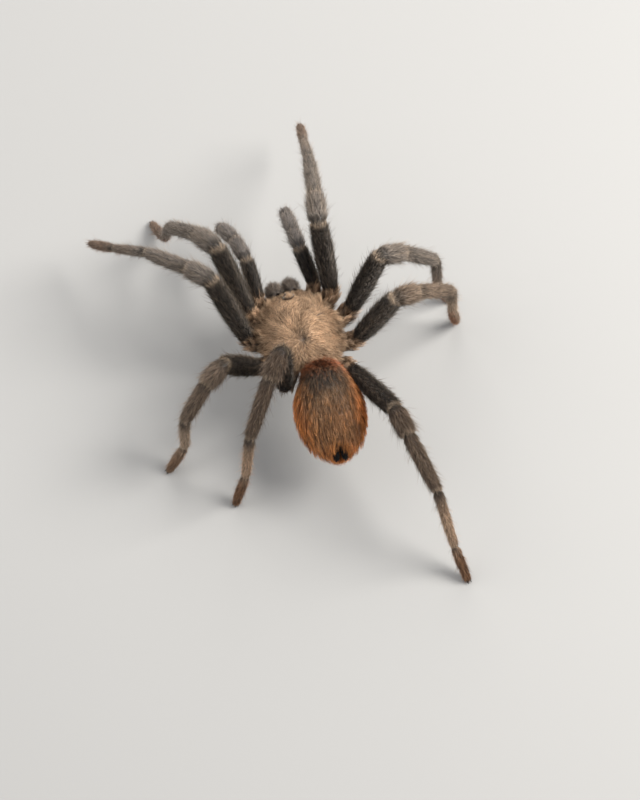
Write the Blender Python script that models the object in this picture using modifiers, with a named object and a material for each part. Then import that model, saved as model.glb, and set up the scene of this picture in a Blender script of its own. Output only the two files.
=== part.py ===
"""A walking tarantula, life size, as a still model.

The head points to -Y and the floor is z = 0. Sizes and places are in millimetres in the tables
below and become metres in the meshes. A place on the body is (lateral, forward, height): lateral
is positive on the animal's right, which is -X, and forward is positive towards the head. Every
solid reaches out to the tips of the short coat, and neighbours part at thin flat cuts.
"""
import math
from typing import NamedTuple

import bmesh
import bpy
from mathutils import Matrix, Vector

MM = 0.001
GAP = 0.3                       # clear space left between neighbouring solids
SIDES = 10                      # facets round a turned limb segment
OBJECT_NAME = "tarantula"

# Head and trunk
CARAPACE_HALF_WIDTH = 7.6
CARAPACE_FRONT = 9.5
CARAPACE_REAR = -6.9
CARAPACE_RIM_Z = 15.0
CARAPACE_RISE = 3.2
CARAPACE_EDGE = 0.35            # height of the rounded rim itself
CARAPACE_FRONT_POWER = 2.5      # over 2 makes the outline squarer than an ellipse
CARAPACE_REAR_POWER = 2.2
CAPUT_RISE = 1.0                # how much higher the head part stands than the rest
CAPUT_HALF_WIDTH = 4.3
CAPUT_FORWARD = 1.5             # where the head part begins, and over what length it rises
CAPUT_BLEND = 1.2
HEAD_NARROWING = 0.14           # share of its width that the carapace loses towards its front
DIMPLE_FORWARD = -1.7
DIMPLE_DEPTH = 0.5
DIMPLE_SPREAD = 0.9
EYE_MOUND_FORWARD = 7.5
EYE_MOUND_HALF = (1.3, 1.0, 0.65)
# Each pair of eyes on the mound: how far out, ahead and up it sits, and its radius
EYES = (
    (0.38, 0.34, 0.52, 0.3),
    (0.98, 0.5, 0.2, 0.26),
    (1.02, -0.26, 0.2, 0.26),
    (0.62, -0.42, 0.36, 0.22),
)
STERNUM_HALF_WIDTH = 2.9
STERNUM_HALF_LENGTH = 4.7
STERNUM_Z = (9.8, 14.6)
STERNUM_REAR_NARROWING = 0.18
ABDOMEN_AT = (0.6, -15.3, 14.8)
ABDOMEN_HALF = (6.2, 9.8, 5.6)
ABDOMEN_TURN = 6.0              # degrees that its rear end swings to the animal's left
ABDOMEN_TILT = 14.0             # degrees that its front end is raised
ABDOMEN_FRONT_CUT = (-7.25, 15.7)   # forward and height of a point on the flat behind the carapace
ABDOMEN_FRONT_SLOPE = 50.0      # degrees that this flat climbs forward
NOTCH_AT = (0, 10.2, 1.6)       # the hollow at its rear that holds the spinnerets
NOTCH_HALF = (1.75, 2.9, 1.7)
ABDOMEN_BELLY = 0.9             # depth below its middle over height above it
ABDOMEN_REAR_FULLNESS = 0.1     # how much wider it is at its rear than at its middle
CHELICERA_AT = (1.6, 10.7, 13.9)
CHELICERA_HALF = (1.5, 4.4, 2.4)
CHELICERA_SLOPE = -50.0
CHELICERA_POWER = 2.8           # over 2 makes its section squarer than an ellipse
CHELICERA_TAPER = 0.1           # share of its width that it loses from its middle to its end
FANG_CENTRE = (1.65, 11.55, 10.15)
FANG_BEND = 1.95                # radius of the arc that a fang follows
FANG_RADIUS = 0.56
FANG_ANGLES = (-25.0, -140.0)   # where on the arc it starts and ends
FANG_LEAN = 0.3                 # how far its point leans to the middle line
FANG_TAPER = 0.75               # share of its radius that it loses on the way
FANG_STEPS = 6
PEDICEL_START = (0, -5.1, 12.9)
PEDICEL_LENGTH = 2.9
PEDICEL_RADII = (1.2, 1.08)
PEDICEL_SLOPE = 14.0
PEDICEL_CAPS = (0.01, 0.35)     # how far each end rounds past its joint, in radii
SPINNERET_ROOT = (0.6, 8.2, 1.6)    # out from the middle line, back and up in the abdomen's frame
SPINNERET_LENGTH = 2.4
SPINNERET_SLOPE = -4.0
SPINNERET_SPREAD = 7.0
SPINNERET_RADII = (0.5, 0.32)
SPINNERET_SWELL = 0.08

# Limbs: where each femur starts, and the lengths of femur, patella, tibia, metatarsus and tarsus
SWAY = 0.6                      # how far the feet stand to the right of the body in this stride
ROOTS = {
    "1": (8.0, 7.7, 14.8),
    "2": (10.0, 2.9, 14.6),
    "3": (9.4, -3.0, 14.2),
    "4": (6.4, -8.0, 13.8),
    "palp": (5.6, 9.9, 14.7),
}
LENGTHS = {
    "1": (15.5, 6.3, 12.8, 10.2, 7.2),
    "2": (15.3, 5.5, 10.8, 10.1, 7.0),
    "3": (13.3, 4.8, 9.0, 10.9, 6.5),
    "4": (16.6, 5.5, 12.0, 13.9, 7.5),
    "palp": (8.8, 5.4, 7.6, 2.6),
}
COXA_STARTS = {
    "1": (3.7, 3.4, 9.4),
    "2": (4.0, 1.1, 10.1),
    "3": (3.9, -1.6, 10.9),
    "4": (3.1, -4.2, 11.6),
    "palp": (2.4, 5.6, 11.6),
}
COXA_HALF = (1.9, 1.6)          # half width and half height of a leg's coxa
COXA_ROOT_SWELL = 1.2           # how much stouter it is beside the breast plate
MAXILLA_HALF = (1.45, 1.35)     # and of the feeler's
# Radius at each joint from the hip to the claws, and the swell of each segment between them
LEG_JOINT_RADII = (1.4, 1.62, 1.5, 1.25, 0.98, 0.86)
LEG_SWELLS = (0.3, 0.16, 0.12, 0.05, 0.2)
PALP_JOINT_RADII = (1.2, 1.3, 1.2, 1.15, 0.85)
PALP_SWELLS = (0.12, 0.08, 0.22, 0.3)
# The segments of a leg before its foot: name, finish and depth over width
LEG_PARTS = (("femur", "black", 1.1), ("patella", "taupe", 1.0), ("tibia", "taupe", 1.0))
PALP_PARTS = (("palp_femur", "black"), ("palp_patella", "taupe"))
TIP_HEIGHT = 0.55               # height of the middle of a planted tip over the floor
TIP_CAP = 0.9                   # a rounded end reaches this many radii past its joint


class Pose(NamedTuple):
    """Headings and slopes of one limb, in degrees.

    yaw is (femur, patella and tibia, metatarsus and tarsus), turning from straight ahead to the
    animal's right. pitch has one slope for each segment, up positive. The tarsus of a planted
    leg has none: it is worked out so that its tip comes down to the floor.
    """

    yaw: tuple
    pitch: tuple

    @property
    def planted(self):
        return len(self.pitch) == 4

    def heading(self, segment):
        return self.yaw[min((segment + 1) // 2, 2)]


# The stride: right legs 1 and 3 and left leg 2 swing forward, and the other five stand.
LEG_POSES = {
    "L1": Pose((-18, -23, -8), (47, -24, -46, -72)),
    "L2": Pose((-28, -37, -38), (52, -10, -23, -39, -36)),
    "L3": Pose((-106, -118, -109), (52, -17, -47, -88)),
    "L4": Pose((-138, -138, -124), (86, -14, -41, -83)),
    "R1": Pose((1, 12, 11), (58, -1, -27, -42, -35)),
    "R2": Pose((68, 84, 100), (61, -26, -50, -86)),
    "R3": Pose((84, 83, 50), (53, -14, -36, -84, -75)),
    "R4": Pose((164, 171.5, 167), (27, -9, -10, -61)),
}
PALP_POSES = {
    "L": Pose((-2, -7, -8), (33, -14, -40, -62)),
    "R": Pose((-13, 5, 7), (47, -30, -34, -46)),
}

# Colour and roughness of each kind of part
FINISHES = {
    "carapace": ((0.42, 0.27, 0.15), 0.8),
    "black": ((0.018, 0.014, 0.012), 0.6),
    "taupe": ((0.11, 0.08, 0.06), 0.75),
    "rust": ((0.16, 0.08, 0.045), 0.8),
    "coxa": ((0.14, 0.07, 0.03), 0.8),
    "abdomen": ((0.16, 0.075, 0.035), 0.85),
    "underside": ((0.03, 0.022, 0.018), 0.7),
    "horn": ((0.008, 0.006, 0.005), 0.2),
}


# ---------------------------------------------------------------- frames and small helpers


def place(lateral, forward, height):
    """A body place in millimetres as a point in metres."""
    return Vector((-lateral, -forward, height)) * MM


def mirrored(spot, side):
    """The same body place on side L or R."""
    sign = 1 if side == "R" else -1
    return (sign * spot[0], spot[1], spot[2])


def heading(yaw, pitch):
    """The unit vector that turns yaw to the animal's right and climbs by pitch, in degrees."""
    y, p = math.radians(yaw), math.radians(pitch)
    return Vector((-math.sin(y) * math.cos(p), -math.cos(y) * math.cos(p), math.sin(p)))


def frame_along(start, direction, yaw):
    """A frame at start whose Z runs along direction and whose X stays level."""
    side = heading(yaw + 90, 0)
    side = (side - direction * side.dot(direction)).normalized()
    turn = Matrix((side, direction.cross(side), direction)).transposed()
    return Matrix.Translation(start) @ turn.to_4x4()


def clear_scene():
    for old in list(bpy.data.objects):
        bpy.data.objects.remove(old, do_unlink=True)


def make_collection(name):
    group = bpy.data.collections.new(name)
    bpy.context.scene.collection.children.link(group)
    return group


def evaluated_mesh(obj):
    """The object's mesh with its modifiers applied, after which the object is removed."""
    graph = bpy.context.evaluated_depsgraph_get()
    graph.update()
    mesh = bpy.data.meshes.new_from_object(obj.evaluated_get(graph))
    bpy.data.objects.remove(obj, do_unlink=True)
    return mesh


def trim(mesh, point, normal):
    """Cuts the mesh flat at point and removes the side that normal points to."""
    work = bmesh.new()
    work.from_mesh(mesh)
    parts = work.verts[:] + work.edges[:] + work.faces[:]
    bmesh.ops.bisect_plane(work, geom=parts, plane_co=point, plane_no=normal, clear_outer=True)
    rims = [edge for edge in work.edges if edge.is_boundary]
    if rims:
        bmesh.ops.holes_fill(work, edges=rims, sides=0)
    bmesh.ops.recalc_face_normals(work, faces=work.faces[:])
    work.to_mesh(mesh)
    work.free()


def shade(mesh):
    mesh.shade_smooth()
    mesh.set_sharp_from_angle(angle=math.radians(50))


class Builder:
    """Puts finished meshes into the scene under one root empty."""

    def __init__(self):
        self.parts = make_collection(OBJECT_NAME)
        self.cutters = make_collection("cutters")
        self.root = bpy.data.objects.new(OBJECT_NAME + "_root", None)
        self.parts.objects.link(self.root)

    def add(self, name, mesh, frame, finish):
        """One sub-part: its object at frame, with its own material."""
        obj = bpy.data.objects.new(name, mesh)
        self.parts.objects.link(obj)
        obj.parent = self.root
        obj.matrix_local = frame
        shade(mesh)
        mesh.materials.clear()
        mesh.materials.append(make_material(name, finish))
        return obj

    def cutter(self, name, mesh, frame):
        """A helper that a Boolean joins or cuts with: not a part of its own."""
        obj = bpy.data.objects.new(name, mesh)
        self.cutters.objects.link(obj)
        obj.parent = self.root
        obj.matrix_local = frame
        obj.hide_render = True
        obj.display_type = "WIRE"
        return obj

    def combine(self, obj, other, operation):
        """Joins a helper to a sub-part with UNION, or cuts it away with DIFFERENCE."""
        modifier = obj.modifiers.new(other.name, "BOOLEAN")
        modifier.operation = operation
        modifier.solver = "EXACT"
        modifier.object = other

    def centre_on_floor(self):
        """Slides the whole animal so that its box is centred over the origin."""
        bpy.context.view_layer.update()
        graph = bpy.context.evaluated_depsgraph_get()
        lows = Vector((1e9, 1e9, 1e9))
        highs = -lows
        for obj in self.parts.objects:
            if obj.type != "MESH":
                continue
            solid = obj.evaluated_get(graph)
            for vertex in solid.to_mesh().vertices:
                point = solid.matrix_world @ vertex.co
                lows = Vector(map(min, lows, point))
                highs = Vector(map(max, highs, point))
            solid.to_mesh_clear()
        middle = (lows + highs) / 2
        self.root.location = (-middle.x, -middle.y, 0)


def make_material(name, finish):
    colour, roughness = FINISHES[finish]
    material = bpy.data.materials.new(name)
    material.use_nodes = True
    material.diffuse_color = (*colour, 1)
    shader = material.node_tree.nodes["Principled BSDF"]
    shader.inputs["Base Color"].default_value = (*colour, 1)
    shader.inputs["Roughness"].default_value = roughness
    shader.inputs["Metallic"].default_value = 0
    return material


# ---------------------------------------------------------------- shapes


def limb_profile(length, radii, swell, stations=5, caps=(TIP_CAP, TIP_CAP)):
    """(radius, height) points of a limb segment, from its far pole down to its near pole.

    The radius runs evenly from one joint's to the other's, plus a swell that is greatest half
    way. Past each joint a quarter of an ellipse closes the end.
    """
    near, far = radii
    points = [(0, length + caps[1] * far)]
    for angle in (30, 62):
        a = math.radians(angle)
        points.append((far * math.sin(a), length + caps[1] * far * math.cos(a)))
    for i in range(stations):
        t = 1 - i / (stations - 1)
        points.append((near + (far - near) * t + 4 * swell * t * (1 - t), length * t))
    for angle in (62, 30):
        a = math.radians(angle)
        points.append((near * math.sin(a), -caps[0] * near * math.cos(a)))
    points.append((0, -caps[0] * near))
    return points


def turned(points, sides=SIDES):
    """A profile of (radius, height) points turned round Z with a Screw modifier."""
    outline = bpy.data.meshes.new("profile")
    corners = [(radius * MM, 0, height * MM) for radius, height in points]
    outline.from_pydata(corners, [(i, i + 1) for i in range(len(corners) - 1)], [])
    obj = bpy.data.objects.new("profile", outline)
    bpy.context.scene.collection.objects.link(obj)
    screw = obj.modifiers.new("turn", "SCREW")
    screw.steps = screw.render_steps = sides
    screw.use_merge_vertices = True
    screw.merge_threshold = 1e-6
    return evaluated_mesh(obj)


def ball(sides, rings, reshape):
    """A sphere whose every vertex is moved by reshape, from its unit place to millimetres."""
    work = bmesh.new()
    bmesh.ops.create_uvsphere(work, u_segments=sides, v_segments=rings, radius=1)
    for vertex in work.verts:
        vertex.co = Vector(reshape(*vertex.co)) * MM
    bmesh.ops.recalc_face_normals(work, faces=work.faces[:])
    mesh = bpy.data.meshes.new("ball")
    work.to_mesh(mesh)
    work.free()
    return mesh


def flatten(mesh, width, height):
    """Scales a turned mesh across, so that its section is an ellipse."""
    mesh.transform(Matrix.Diagonal((width, height, 1, 1)))


# ---------------------------------------------------------------- limbs


class Limb:
    """The joints of one leg or palp, worked out from its pose."""

    def __init__(self, kind, side, pose):
        self.kind = kind
        self.side = side
        self.pose = pose
        self.coxa_start = place(*mirrored(COXA_STARTS[kind], side))
        joint = place(*mirrored(ROOTS[kind], side)) + place(SWAY, 0, 0)
        self.joints = [joint]
        self.directions = []
        self.yaws = []
        pitches = list(pose.pitch)
        for i, length in enumerate(LENGTHS[kind]):
            if i == len(pitches):
                fall = joint.z / MM - TIP_HEIGHT
                pitches.append(-math.degrees(math.asin(fall / length)))
            yaw = pose.heading(i)
            direction = heading(yaw, pitches[i])
            joint = joint + direction * length * MM
            self.yaws.append(yaw)
            self.directions.append(direction)
            self.joints.append(joint)

    def cut_at(self, index):
        """The plane half way round the bend at a joint: its point and its outward normal."""
        if index == 0:
            before = (self.joints[0] - self.coxa_start).normalized()
        else:
            before = self.directions[index - 1]
        return self.joints[index], (before + self.directions[index]).normalized()

    def segment(self, index, radii, swell, ratio=1.0, cut_near=True, cut_far=True, stations=5):
        """The mesh and the frame of one segment, cut flat where it meets its neighbours."""
        frame = frame_along(self.joints[index], self.directions[index], self.yaws[index])
        length = LENGTHS[self.kind][index]
        mesh = turned(limb_profile(length, radii, swell, stations))
        flatten(mesh, 1, ratio)
        if cut_near:
            point, normal = self.cut_at(index)
            trim_in_world(mesh, frame, point + normal * GAP / 2 * MM, -normal)
        if cut_far:
            point, normal = self.cut_at(index + 1)
            trim_in_world(mesh, frame, point - normal * GAP / 2 * MM, normal)
        return mesh, frame


def trim_in_world(mesh, frame, point, normal):
    """Trims a mesh that stands at frame by a plane given in the animal's own frame."""
    back = frame.inverted()
    trim(mesh, back @ point, back.to_3x3() @ normal)


def trim_beside(mesh, frame, limb, other):
    """Cuts a coxa flat along the upright plane half way to its neighbour."""
    inner = (limb.coxa_start + other.coxa_start) / 2
    outer = (limb.joints[0] + other.joints[0]) / 2
    normal = (outer - inner).cross(Vector((0, 0, 1))).normalized()
    if normal.dot(other.joints[0] - limb.joints[0]) < 0:
        normal = -normal
    trim_in_world(mesh, frame, inner - normal * GAP / 2 * MM, normal)


def make_coxa(builder, limb, neighbours, name):
    """The hip piece, from beside the breast plate out to the femur, with its trochanter."""
    start = limb.coxa_start
    span = limb.joints[0] - start
    direction = span.normalized()
    yaw = math.degrees(math.atan2(-direction.x, -direction.y))
    frame = frame_along(start, direction, yaw)
    is_palp = limb.kind == "palp"
    wide, high = MAXILLA_HALF if is_palp else COXA_HALF
    tip = PALP_JOINT_RADII[0] if is_palp else LEG_JOINT_RADII[0]
    mesh = turned(limb_profile(span.length / MM, (high * COXA_ROOT_SWELL, tip), 0.0, stations=4))
    flatten(mesh, wide / high, 1)
    trim_in_world(mesh, frame, start, -direction)
    point, normal = limb.cut_at(0)
    trim_in_world(mesh, frame, point - normal * GAP / 2 * MM, normal)
    for other in neighbours:
        trim_beside(mesh, frame, limb, other)
    builder.add(name, mesh, frame, "coxa")


def make_leg(builder, name, limb):
    """Femur, patella, tibia and foot, each its own solid."""
    for i, (part, finish, ratio) in enumerate(LEG_PARTS):
        radii = LEG_JOINT_RADII[i:i + 2]
        mesh, frame = limb.segment(i, radii, LEG_SWELLS[i], ratio, stations=4 if i == 1 else 5)
        builder.add(f"{part}_{name}", mesh, frame, finish)
    mesh, frame = limb.segment(3, LEG_JOINT_RADII[3:5], LEG_SWELLS[3], cut_far=False, stations=4)
    foot = builder.add(f"foot_{name}", mesh, frame, "rust")
    radii = LEG_JOINT_RADII[4:6]
    mesh, frame = limb.segment(4, radii, LEG_SWELLS[4], cut_near=False, cut_far=False)
    if limb.pose.planted:
        trim_in_world(mesh, frame, Vector((0, 0, 0)), Vector((0, 0, -1)))
    builder.combine(foot, builder.cutter(f"tarsus_{name}", mesh, frame), "UNION")


def make_palp(builder, name, limb):
    """The feeler beside the jaws: femur, patella and a tibia that carries the round tip."""
    for i, (part, finish) in enumerate(PALP_PARTS):
        mesh, frame = limb.segment(i, PALP_JOINT_RADII[i:i + 2], PALP_SWELLS[i], stations=4)
        builder.add(f"{part}_{name}", mesh, frame, finish)
    radii = PALP_JOINT_RADII[2:4]
    mesh, frame = limb.segment(2, radii, PALP_SWELLS[2], cut_far=False, stations=4)
    tibia = builder.add(f"palp_tibia_{name}", mesh, frame, "taupe")
    radii = PALP_JOINT_RADII[3:5]
    mesh, frame = limb.segment(3, radii, PALP_SWELLS[3], cut_near=False, cut_far=False, stations=4)
    builder.combine(tibia, builder.cutter(f"palp_tip_{name}", mesh, frame), "UNION")


def make_limbs(builder):
    for side in "LR":
        limbs = {"palp": Limb("palp", side, PALP_POSES[side])}
        for kind in "1234":
            limbs[kind] = Limb(kind, side, LEG_POSES[side + kind])
        order = list(limbs)
        for i, kind in enumerate(order):
            beside = [limbs[order[j]] for j in (i - 1, i + 1) if 0 <= j < len(order)]
            coxa_name = f"maxilla_{side}" if kind == "palp" else f"coxa_{side}{kind}"
            make_coxa(builder, limbs[kind], beside, coxa_name)
            if kind == "palp":
                make_palp(builder, side, limbs[kind])
            else:
                make_leg(builder, side + kind, limbs[kind])


# ---------------------------------------------------------------- head and trunk


def carapace_outline(angle):
    """Distance from the carapace's middle to its rim, for an angle from straight ahead."""
    c, s = math.cos(angle), math.sin(angle)
    reach = CARAPACE_FRONT if c > 0 else -CARAPACE_REAR
    power = CARAPACE_FRONT_POWER if c > 0 else CARAPACE_REAR_POWER
    return ((abs(c) / reach) ** power + (abs(s) / CARAPACE_HALF_WIDTH) ** power) ** (-1 / power)


def carapace_height(lateral, forward, rho):
    """Height over the rim, where rho is 0 in the middle and 1 at the rim.

    A low dome, steeper in front than behind, carries a raised head part and has a dimple where
    its grooves meet.
    """
    ahead = 1 / (1 + math.exp(-(forward - CAPUT_FORWARD) / CAPUT_BLEND))
    height = CARAPACE_RISE * (1 - rho ** (3 + 2.5 * ahead)) ** 0.6
    height += CARAPACE_EDGE * (1 - rho ** 8)
    height += CAPUT_RISE * ahead * math.exp(-(lateral / CAPUT_HALF_WIDTH) ** 4) * (1 - rho ** 6)
    off_dimple = math.hypot(lateral, forward - DIMPLE_FORWARD) / DIMPLE_SPREAD
    return height - DIMPLE_DEPTH * math.exp(-off_dimple ** 2)


def carapace_point(x, y, z):
    """Where a point of the unit sphere goes: the flat underside or the top of the carapace."""
    angle = math.atan2(x, y)
    rho = min(math.hypot(x, y), 1)
    rim = carapace_outline(angle)
    forward = rim * rho * math.cos(angle)
    narrowing = 1 - HEAD_NARROWING * (max(forward, 0) / CARAPACE_FRONT) ** 2
    lateral = rim * rho * math.sin(angle) * narrowing
    height = carapace_height(lateral, forward, rho) if z > 0 else 0
    return (-lateral, -forward, CARAPACE_RIM_Z + height)


def make_carapace(builder):
    mesh = ball(24, 14, carapace_point)
    builder.add("carapace", mesh, Matrix.Identity(4), "carapace")


def mound_frame():
    """Where the eye mound sits: on the carapace's middle line, tipped to its slope."""
    reach = EYE_MOUND_HALF[1] * 0.9
    before, here, after = (
        Vector((0, -f, CARAPACE_RIM_Z + carapace_height(0, f, f / CARAPACE_FRONT)))
        for f in (EYE_MOUND_FORWARD + reach, EYE_MOUND_FORWARD, EYE_MOUND_FORWARD - reach)
    )
    back = (after - before).normalized()
    up = Vector((1, 0, 0)).cross(back)
    turn = Matrix(((1, 0, 0), back, up)).transposed()
    return Matrix.Translation((here + up * GAP) * MM) @ turn.to_4x4()


def make_eye_mound(builder):
    """The small turret near the front edge, with its eight beads in two rows."""
    frame = mound_frame()
    half = EYE_MOUND_HALF
    mesh = ball(12, 8, lambda x, y, z: (half[0] * x, half[1] * y, half[2] * max(z, 0)))
    mound = builder.add("eye_mound", mesh, frame, "horn")
    for i, (across, ahead, up, radius) in enumerate(EYES):
        for side, sign in (("L", 1), ("R", -1)):
            work = bmesh.new()
            bmesh.ops.create_icosphere(work, subdivisions=2, radius=radius * MM)
            bead = bpy.data.meshes.new("bead")
            work.to_mesh(bead)
            work.free()
            spot = Matrix.Translation(Vector((sign * across, -ahead, up)) * MM)
            builder.combine(mound, builder.cutter(f"eye_{i}_{side}", bead, frame @ spot), "UNION")


def make_sternum(builder):
    """The breast plate and the flesh over it, between the inner ends of the hips."""
    low, high = STERNUM_Z
    middle, half_height = (low + high) / 2, (high - low) / 2

    def reshape(x, y, z):
        rho = math.hypot(x, y)
        spread = rho ** -0.6 if rho > 1e-6 else 0
        narrow = 1 - STERNUM_REAR_NARROWING * max(-y, 0)
        level = middle + half_height * math.copysign(abs(z) ** 0.45, z)
        return (x * spread * STERNUM_HALF_WIDTH * narrow, y * spread * STERNUM_HALF_LENGTH, level)

    mesh = ball(16, 8, reshape)
    builder.add("sternum", mesh, Matrix.Identity(4), "underside")


def make_pedicel(builder):
    """The short waist between the head part and the abdomen."""
    frame = frame_along(place(*PEDICEL_START), heading(180, PEDICEL_SLOPE), 180)
    mesh = turned(limb_profile(PEDICEL_LENGTH, PEDICEL_RADII, 0.0, stations=3, caps=PEDICEL_CAPS))
    builder.add("pedicel", mesh, frame, "underside")


def abdomen_frame():
    turn = Matrix.Rotation(math.radians(-ABDOMEN_TURN), 4, "Z")
    tilt = Matrix.Rotation(math.radians(-ABDOMEN_TILT), 4, "X")
    return Matrix.Translation(place(*ABDOMEN_AT)) @ turn @ tilt


def abdomen_point(x, y, z):
    """An egg, widest a little behind its middle and flatter below. Local +Y is its rear."""
    wide, long, high = ABDOMEN_HALF
    fuller = 1 + ABDOMEN_REAR_FULLNESS * y * (1 - y / 2)
    rise = high * (1.0 if z > 0 else ABDOMEN_BELLY)
    return (wide * x * fuller, long * y, rise * z * (1 + 0.03 * y))


def make_abdomen(builder):
    """The abdomen, flat where it meets the carapace, with a hollow for the spinnerets."""
    mesh = ball(22, 14, abdomen_point)
    forward, height = ABDOMEN_FRONT_CUT
    slope = heading(0, ABDOMEN_FRONT_SLOPE - 90)
    trim_in_world(mesh, abdomen_frame(), place(0, forward, height), slope)
    abdomen = builder.add("abdomen", mesh, abdomen_frame(), "abdomen")
    half = NOTCH_HALF
    notch = ball(16, 10, lambda x, y, z: (half[0] * x, half[1] * y, half[2] * z))
    frame = abdomen_frame() @ Matrix.Translation(Vector(NOTCH_AT) * MM)
    builder.combine(abdomen, builder.cutter("spinneret_notch", notch, frame), "DIFFERENCE")


def make_spinnerets(builder):
    """The pair of spinnerets in the hollow at the rear of the abdomen."""
    out, back, up = SPINNERET_ROOT
    for side, sign in (("L", -1), ("R", 1)):
        start = abdomen_frame() @ (Vector((-sign * out, back, up)) * MM)
        yaw = 180 + ABDOMEN_TURN - sign * SPINNERET_SPREAD
        direction = heading(yaw, SPINNERET_SLOPE)
        frame = frame_along(start, direction, yaw)
        mesh = turned(limb_profile(SPINNERET_LENGTH, SPINNERET_RADII, SPINNERET_SWELL, 3), 8)
        trim_in_world(mesh, frame, start, -direction)
        builder.add(f"spinneret_{side}", mesh, frame, "horn")


def chelicera_point(x, y, z):
    """A bean, fullest near its root. Local +Y runs down to the fang."""
    wide, long, high = CHELICERA_HALF
    across = (abs(x) ** CHELICERA_POWER + abs(z) ** CHELICERA_POWER) ** (1 / CHELICERA_POWER)
    fuller = (1 - CHELICERA_TAPER * y) * (math.hypot(x, z) / across if across > 1e-6 else 1)
    return (wide * x * fuller, long * y, high * z * fuller)


def make_jaws(builder):
    """Chelicerae in front of the carapace, each with a fang folded under it."""
    for side, sign in (("L", 1), ("R", -1)):
        centre = place(*mirrored(CHELICERA_AT, side))
        slope = Matrix.Rotation(math.pi, 4, "Z") @ Matrix.Rotation(math.radians(CHELICERA_SLOPE), 4, "X")
        frame = Matrix.Translation(centre) @ slope
        mesh = ball(14, 10, chelicera_point)
        front = place(0, CARAPACE_FRONT + GAP, 0)
        trim_in_world(mesh, frame, front, Vector((0, 1, 0)))
        trim_in_world(mesh, frame, Vector((sign * GAP / 2 * MM, 0, 0)), Vector((-sign, 0, 0)))
        builder.add(f"chelicera_{side}", mesh, frame, "taupe")
        make_fang(builder, side)


def make_fang(builder, side):
    """A curved spike along a quarter turn, thinning to its point."""
    curve = bpy.data.curves.new("fang", "CURVE")
    curve.dimensions = "3D"
    curve.bevel_depth = FANG_RADIUS * MM
    curve.bevel_resolution = 1
    curve.use_fill_caps = True
    spline = curve.splines.new("POLY")
    spline.points.add(FANG_STEPS)
    for i in range(FANG_STEPS + 1):
        t = i / FANG_STEPS
        angle = math.radians(FANG_ANGLES[0] + (FANG_ANGLES[1] - FANG_ANGLES[0]) * t)
        forward = FANG_CENTRE[1] + FANG_BEND * math.cos(angle)
        height = FANG_CENTRE[2] + FANG_BEND * math.sin(angle)
        spot = place(*mirrored((FANG_CENTRE[0] - FANG_LEAN * t, forward, height), side))
        spline.points[i].co = (*spot, 1)
        spline.points[i].radius = 1 - FANG_TAPER * t
    obj = bpy.data.objects.new("fang", curve)
    bpy.context.scene.collection.objects.link(obj)
    mesh = evaluated_mesh(obj)
    work = bmesh.new()
    work.from_mesh(mesh)
    bmesh.ops.remove_doubles(work, verts=work.verts[:], dist=1e-6)
    bmesh.ops.recalc_face_normals(work, faces=work.faces[:])
    work.to_mesh(mesh)
    work.free()
    builder.add(f"fang_{side}", mesh, Matrix.Identity(4), "horn")


def main():
    clear_scene()
    builder = Builder()
    make_carapace(builder)
    make_eye_mound(builder)
    make_sternum(builder)
    make_pedicel(builder)
    make_abdomen(builder)
    make_spinnerets(builder)
    make_jaws(builder)
    make_limbs(builder)
    builder.centre_on_floor()


main()
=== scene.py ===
"""A walking tarantula, life size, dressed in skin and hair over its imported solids.

Places are in millimetres in the animal's own frame, as (lateral, forward, height): lateral is
positive on the animal's right, which is -X, and forward is positive towards the head, which is -Y.
Body.metres() puts them over the frame. Every surface is a grid of points whose rows run the way
its hair lies and whose columns run round it, and every hair is a thin closed spike that grows from
such a grid. Hairs lean together in locks.
"""

import logging
import math
from dataclasses import dataclass, field
from enum import Enum

import bpy
import numpy as np
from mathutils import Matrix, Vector
from mathutils.kdtree import KDTree

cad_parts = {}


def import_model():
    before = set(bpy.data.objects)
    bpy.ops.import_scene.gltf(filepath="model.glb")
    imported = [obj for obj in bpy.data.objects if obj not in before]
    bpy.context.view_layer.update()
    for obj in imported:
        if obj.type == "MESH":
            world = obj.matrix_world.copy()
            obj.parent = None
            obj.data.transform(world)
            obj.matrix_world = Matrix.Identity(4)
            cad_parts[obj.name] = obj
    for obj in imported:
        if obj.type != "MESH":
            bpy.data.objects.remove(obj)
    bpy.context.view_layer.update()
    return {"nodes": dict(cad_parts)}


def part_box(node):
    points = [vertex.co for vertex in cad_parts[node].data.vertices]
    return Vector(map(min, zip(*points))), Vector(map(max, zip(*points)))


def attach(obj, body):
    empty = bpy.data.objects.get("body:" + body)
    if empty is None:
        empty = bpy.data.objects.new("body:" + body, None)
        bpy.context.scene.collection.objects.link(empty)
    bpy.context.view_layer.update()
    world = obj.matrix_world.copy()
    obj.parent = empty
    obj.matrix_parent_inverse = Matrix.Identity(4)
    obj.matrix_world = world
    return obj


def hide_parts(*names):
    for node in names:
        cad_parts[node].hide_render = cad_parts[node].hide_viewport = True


LOG = logging.getLogger("tarantula")
MM = 0.001
Array = np.ndarray
Colour = tuple[float, float, float]

CARAPACE_FRONT = 9.5        # how far the shield's rim is ahead of, and behind, its middle
CARAPACE_REAR = 6.9
CARAPACE_HALF_WIDTH = 7.6
CARAPACE_RIM_Z = 15.0
DIMPLE_FORWARD = -1.7
SWAY = 0.6                  # how far the legs stand to the right of the body in this stride
TIP_HEIGHT = 0.55           # height of the middle of a planted tip over the floor
SKIN_FLOOR = 0.15           # the lowest skin and the lowest hair over the floor
HAIR_FLOOR = 0.03
SKIN_CELL = 0.28            # size of the cells that the skin is melted together in

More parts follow.
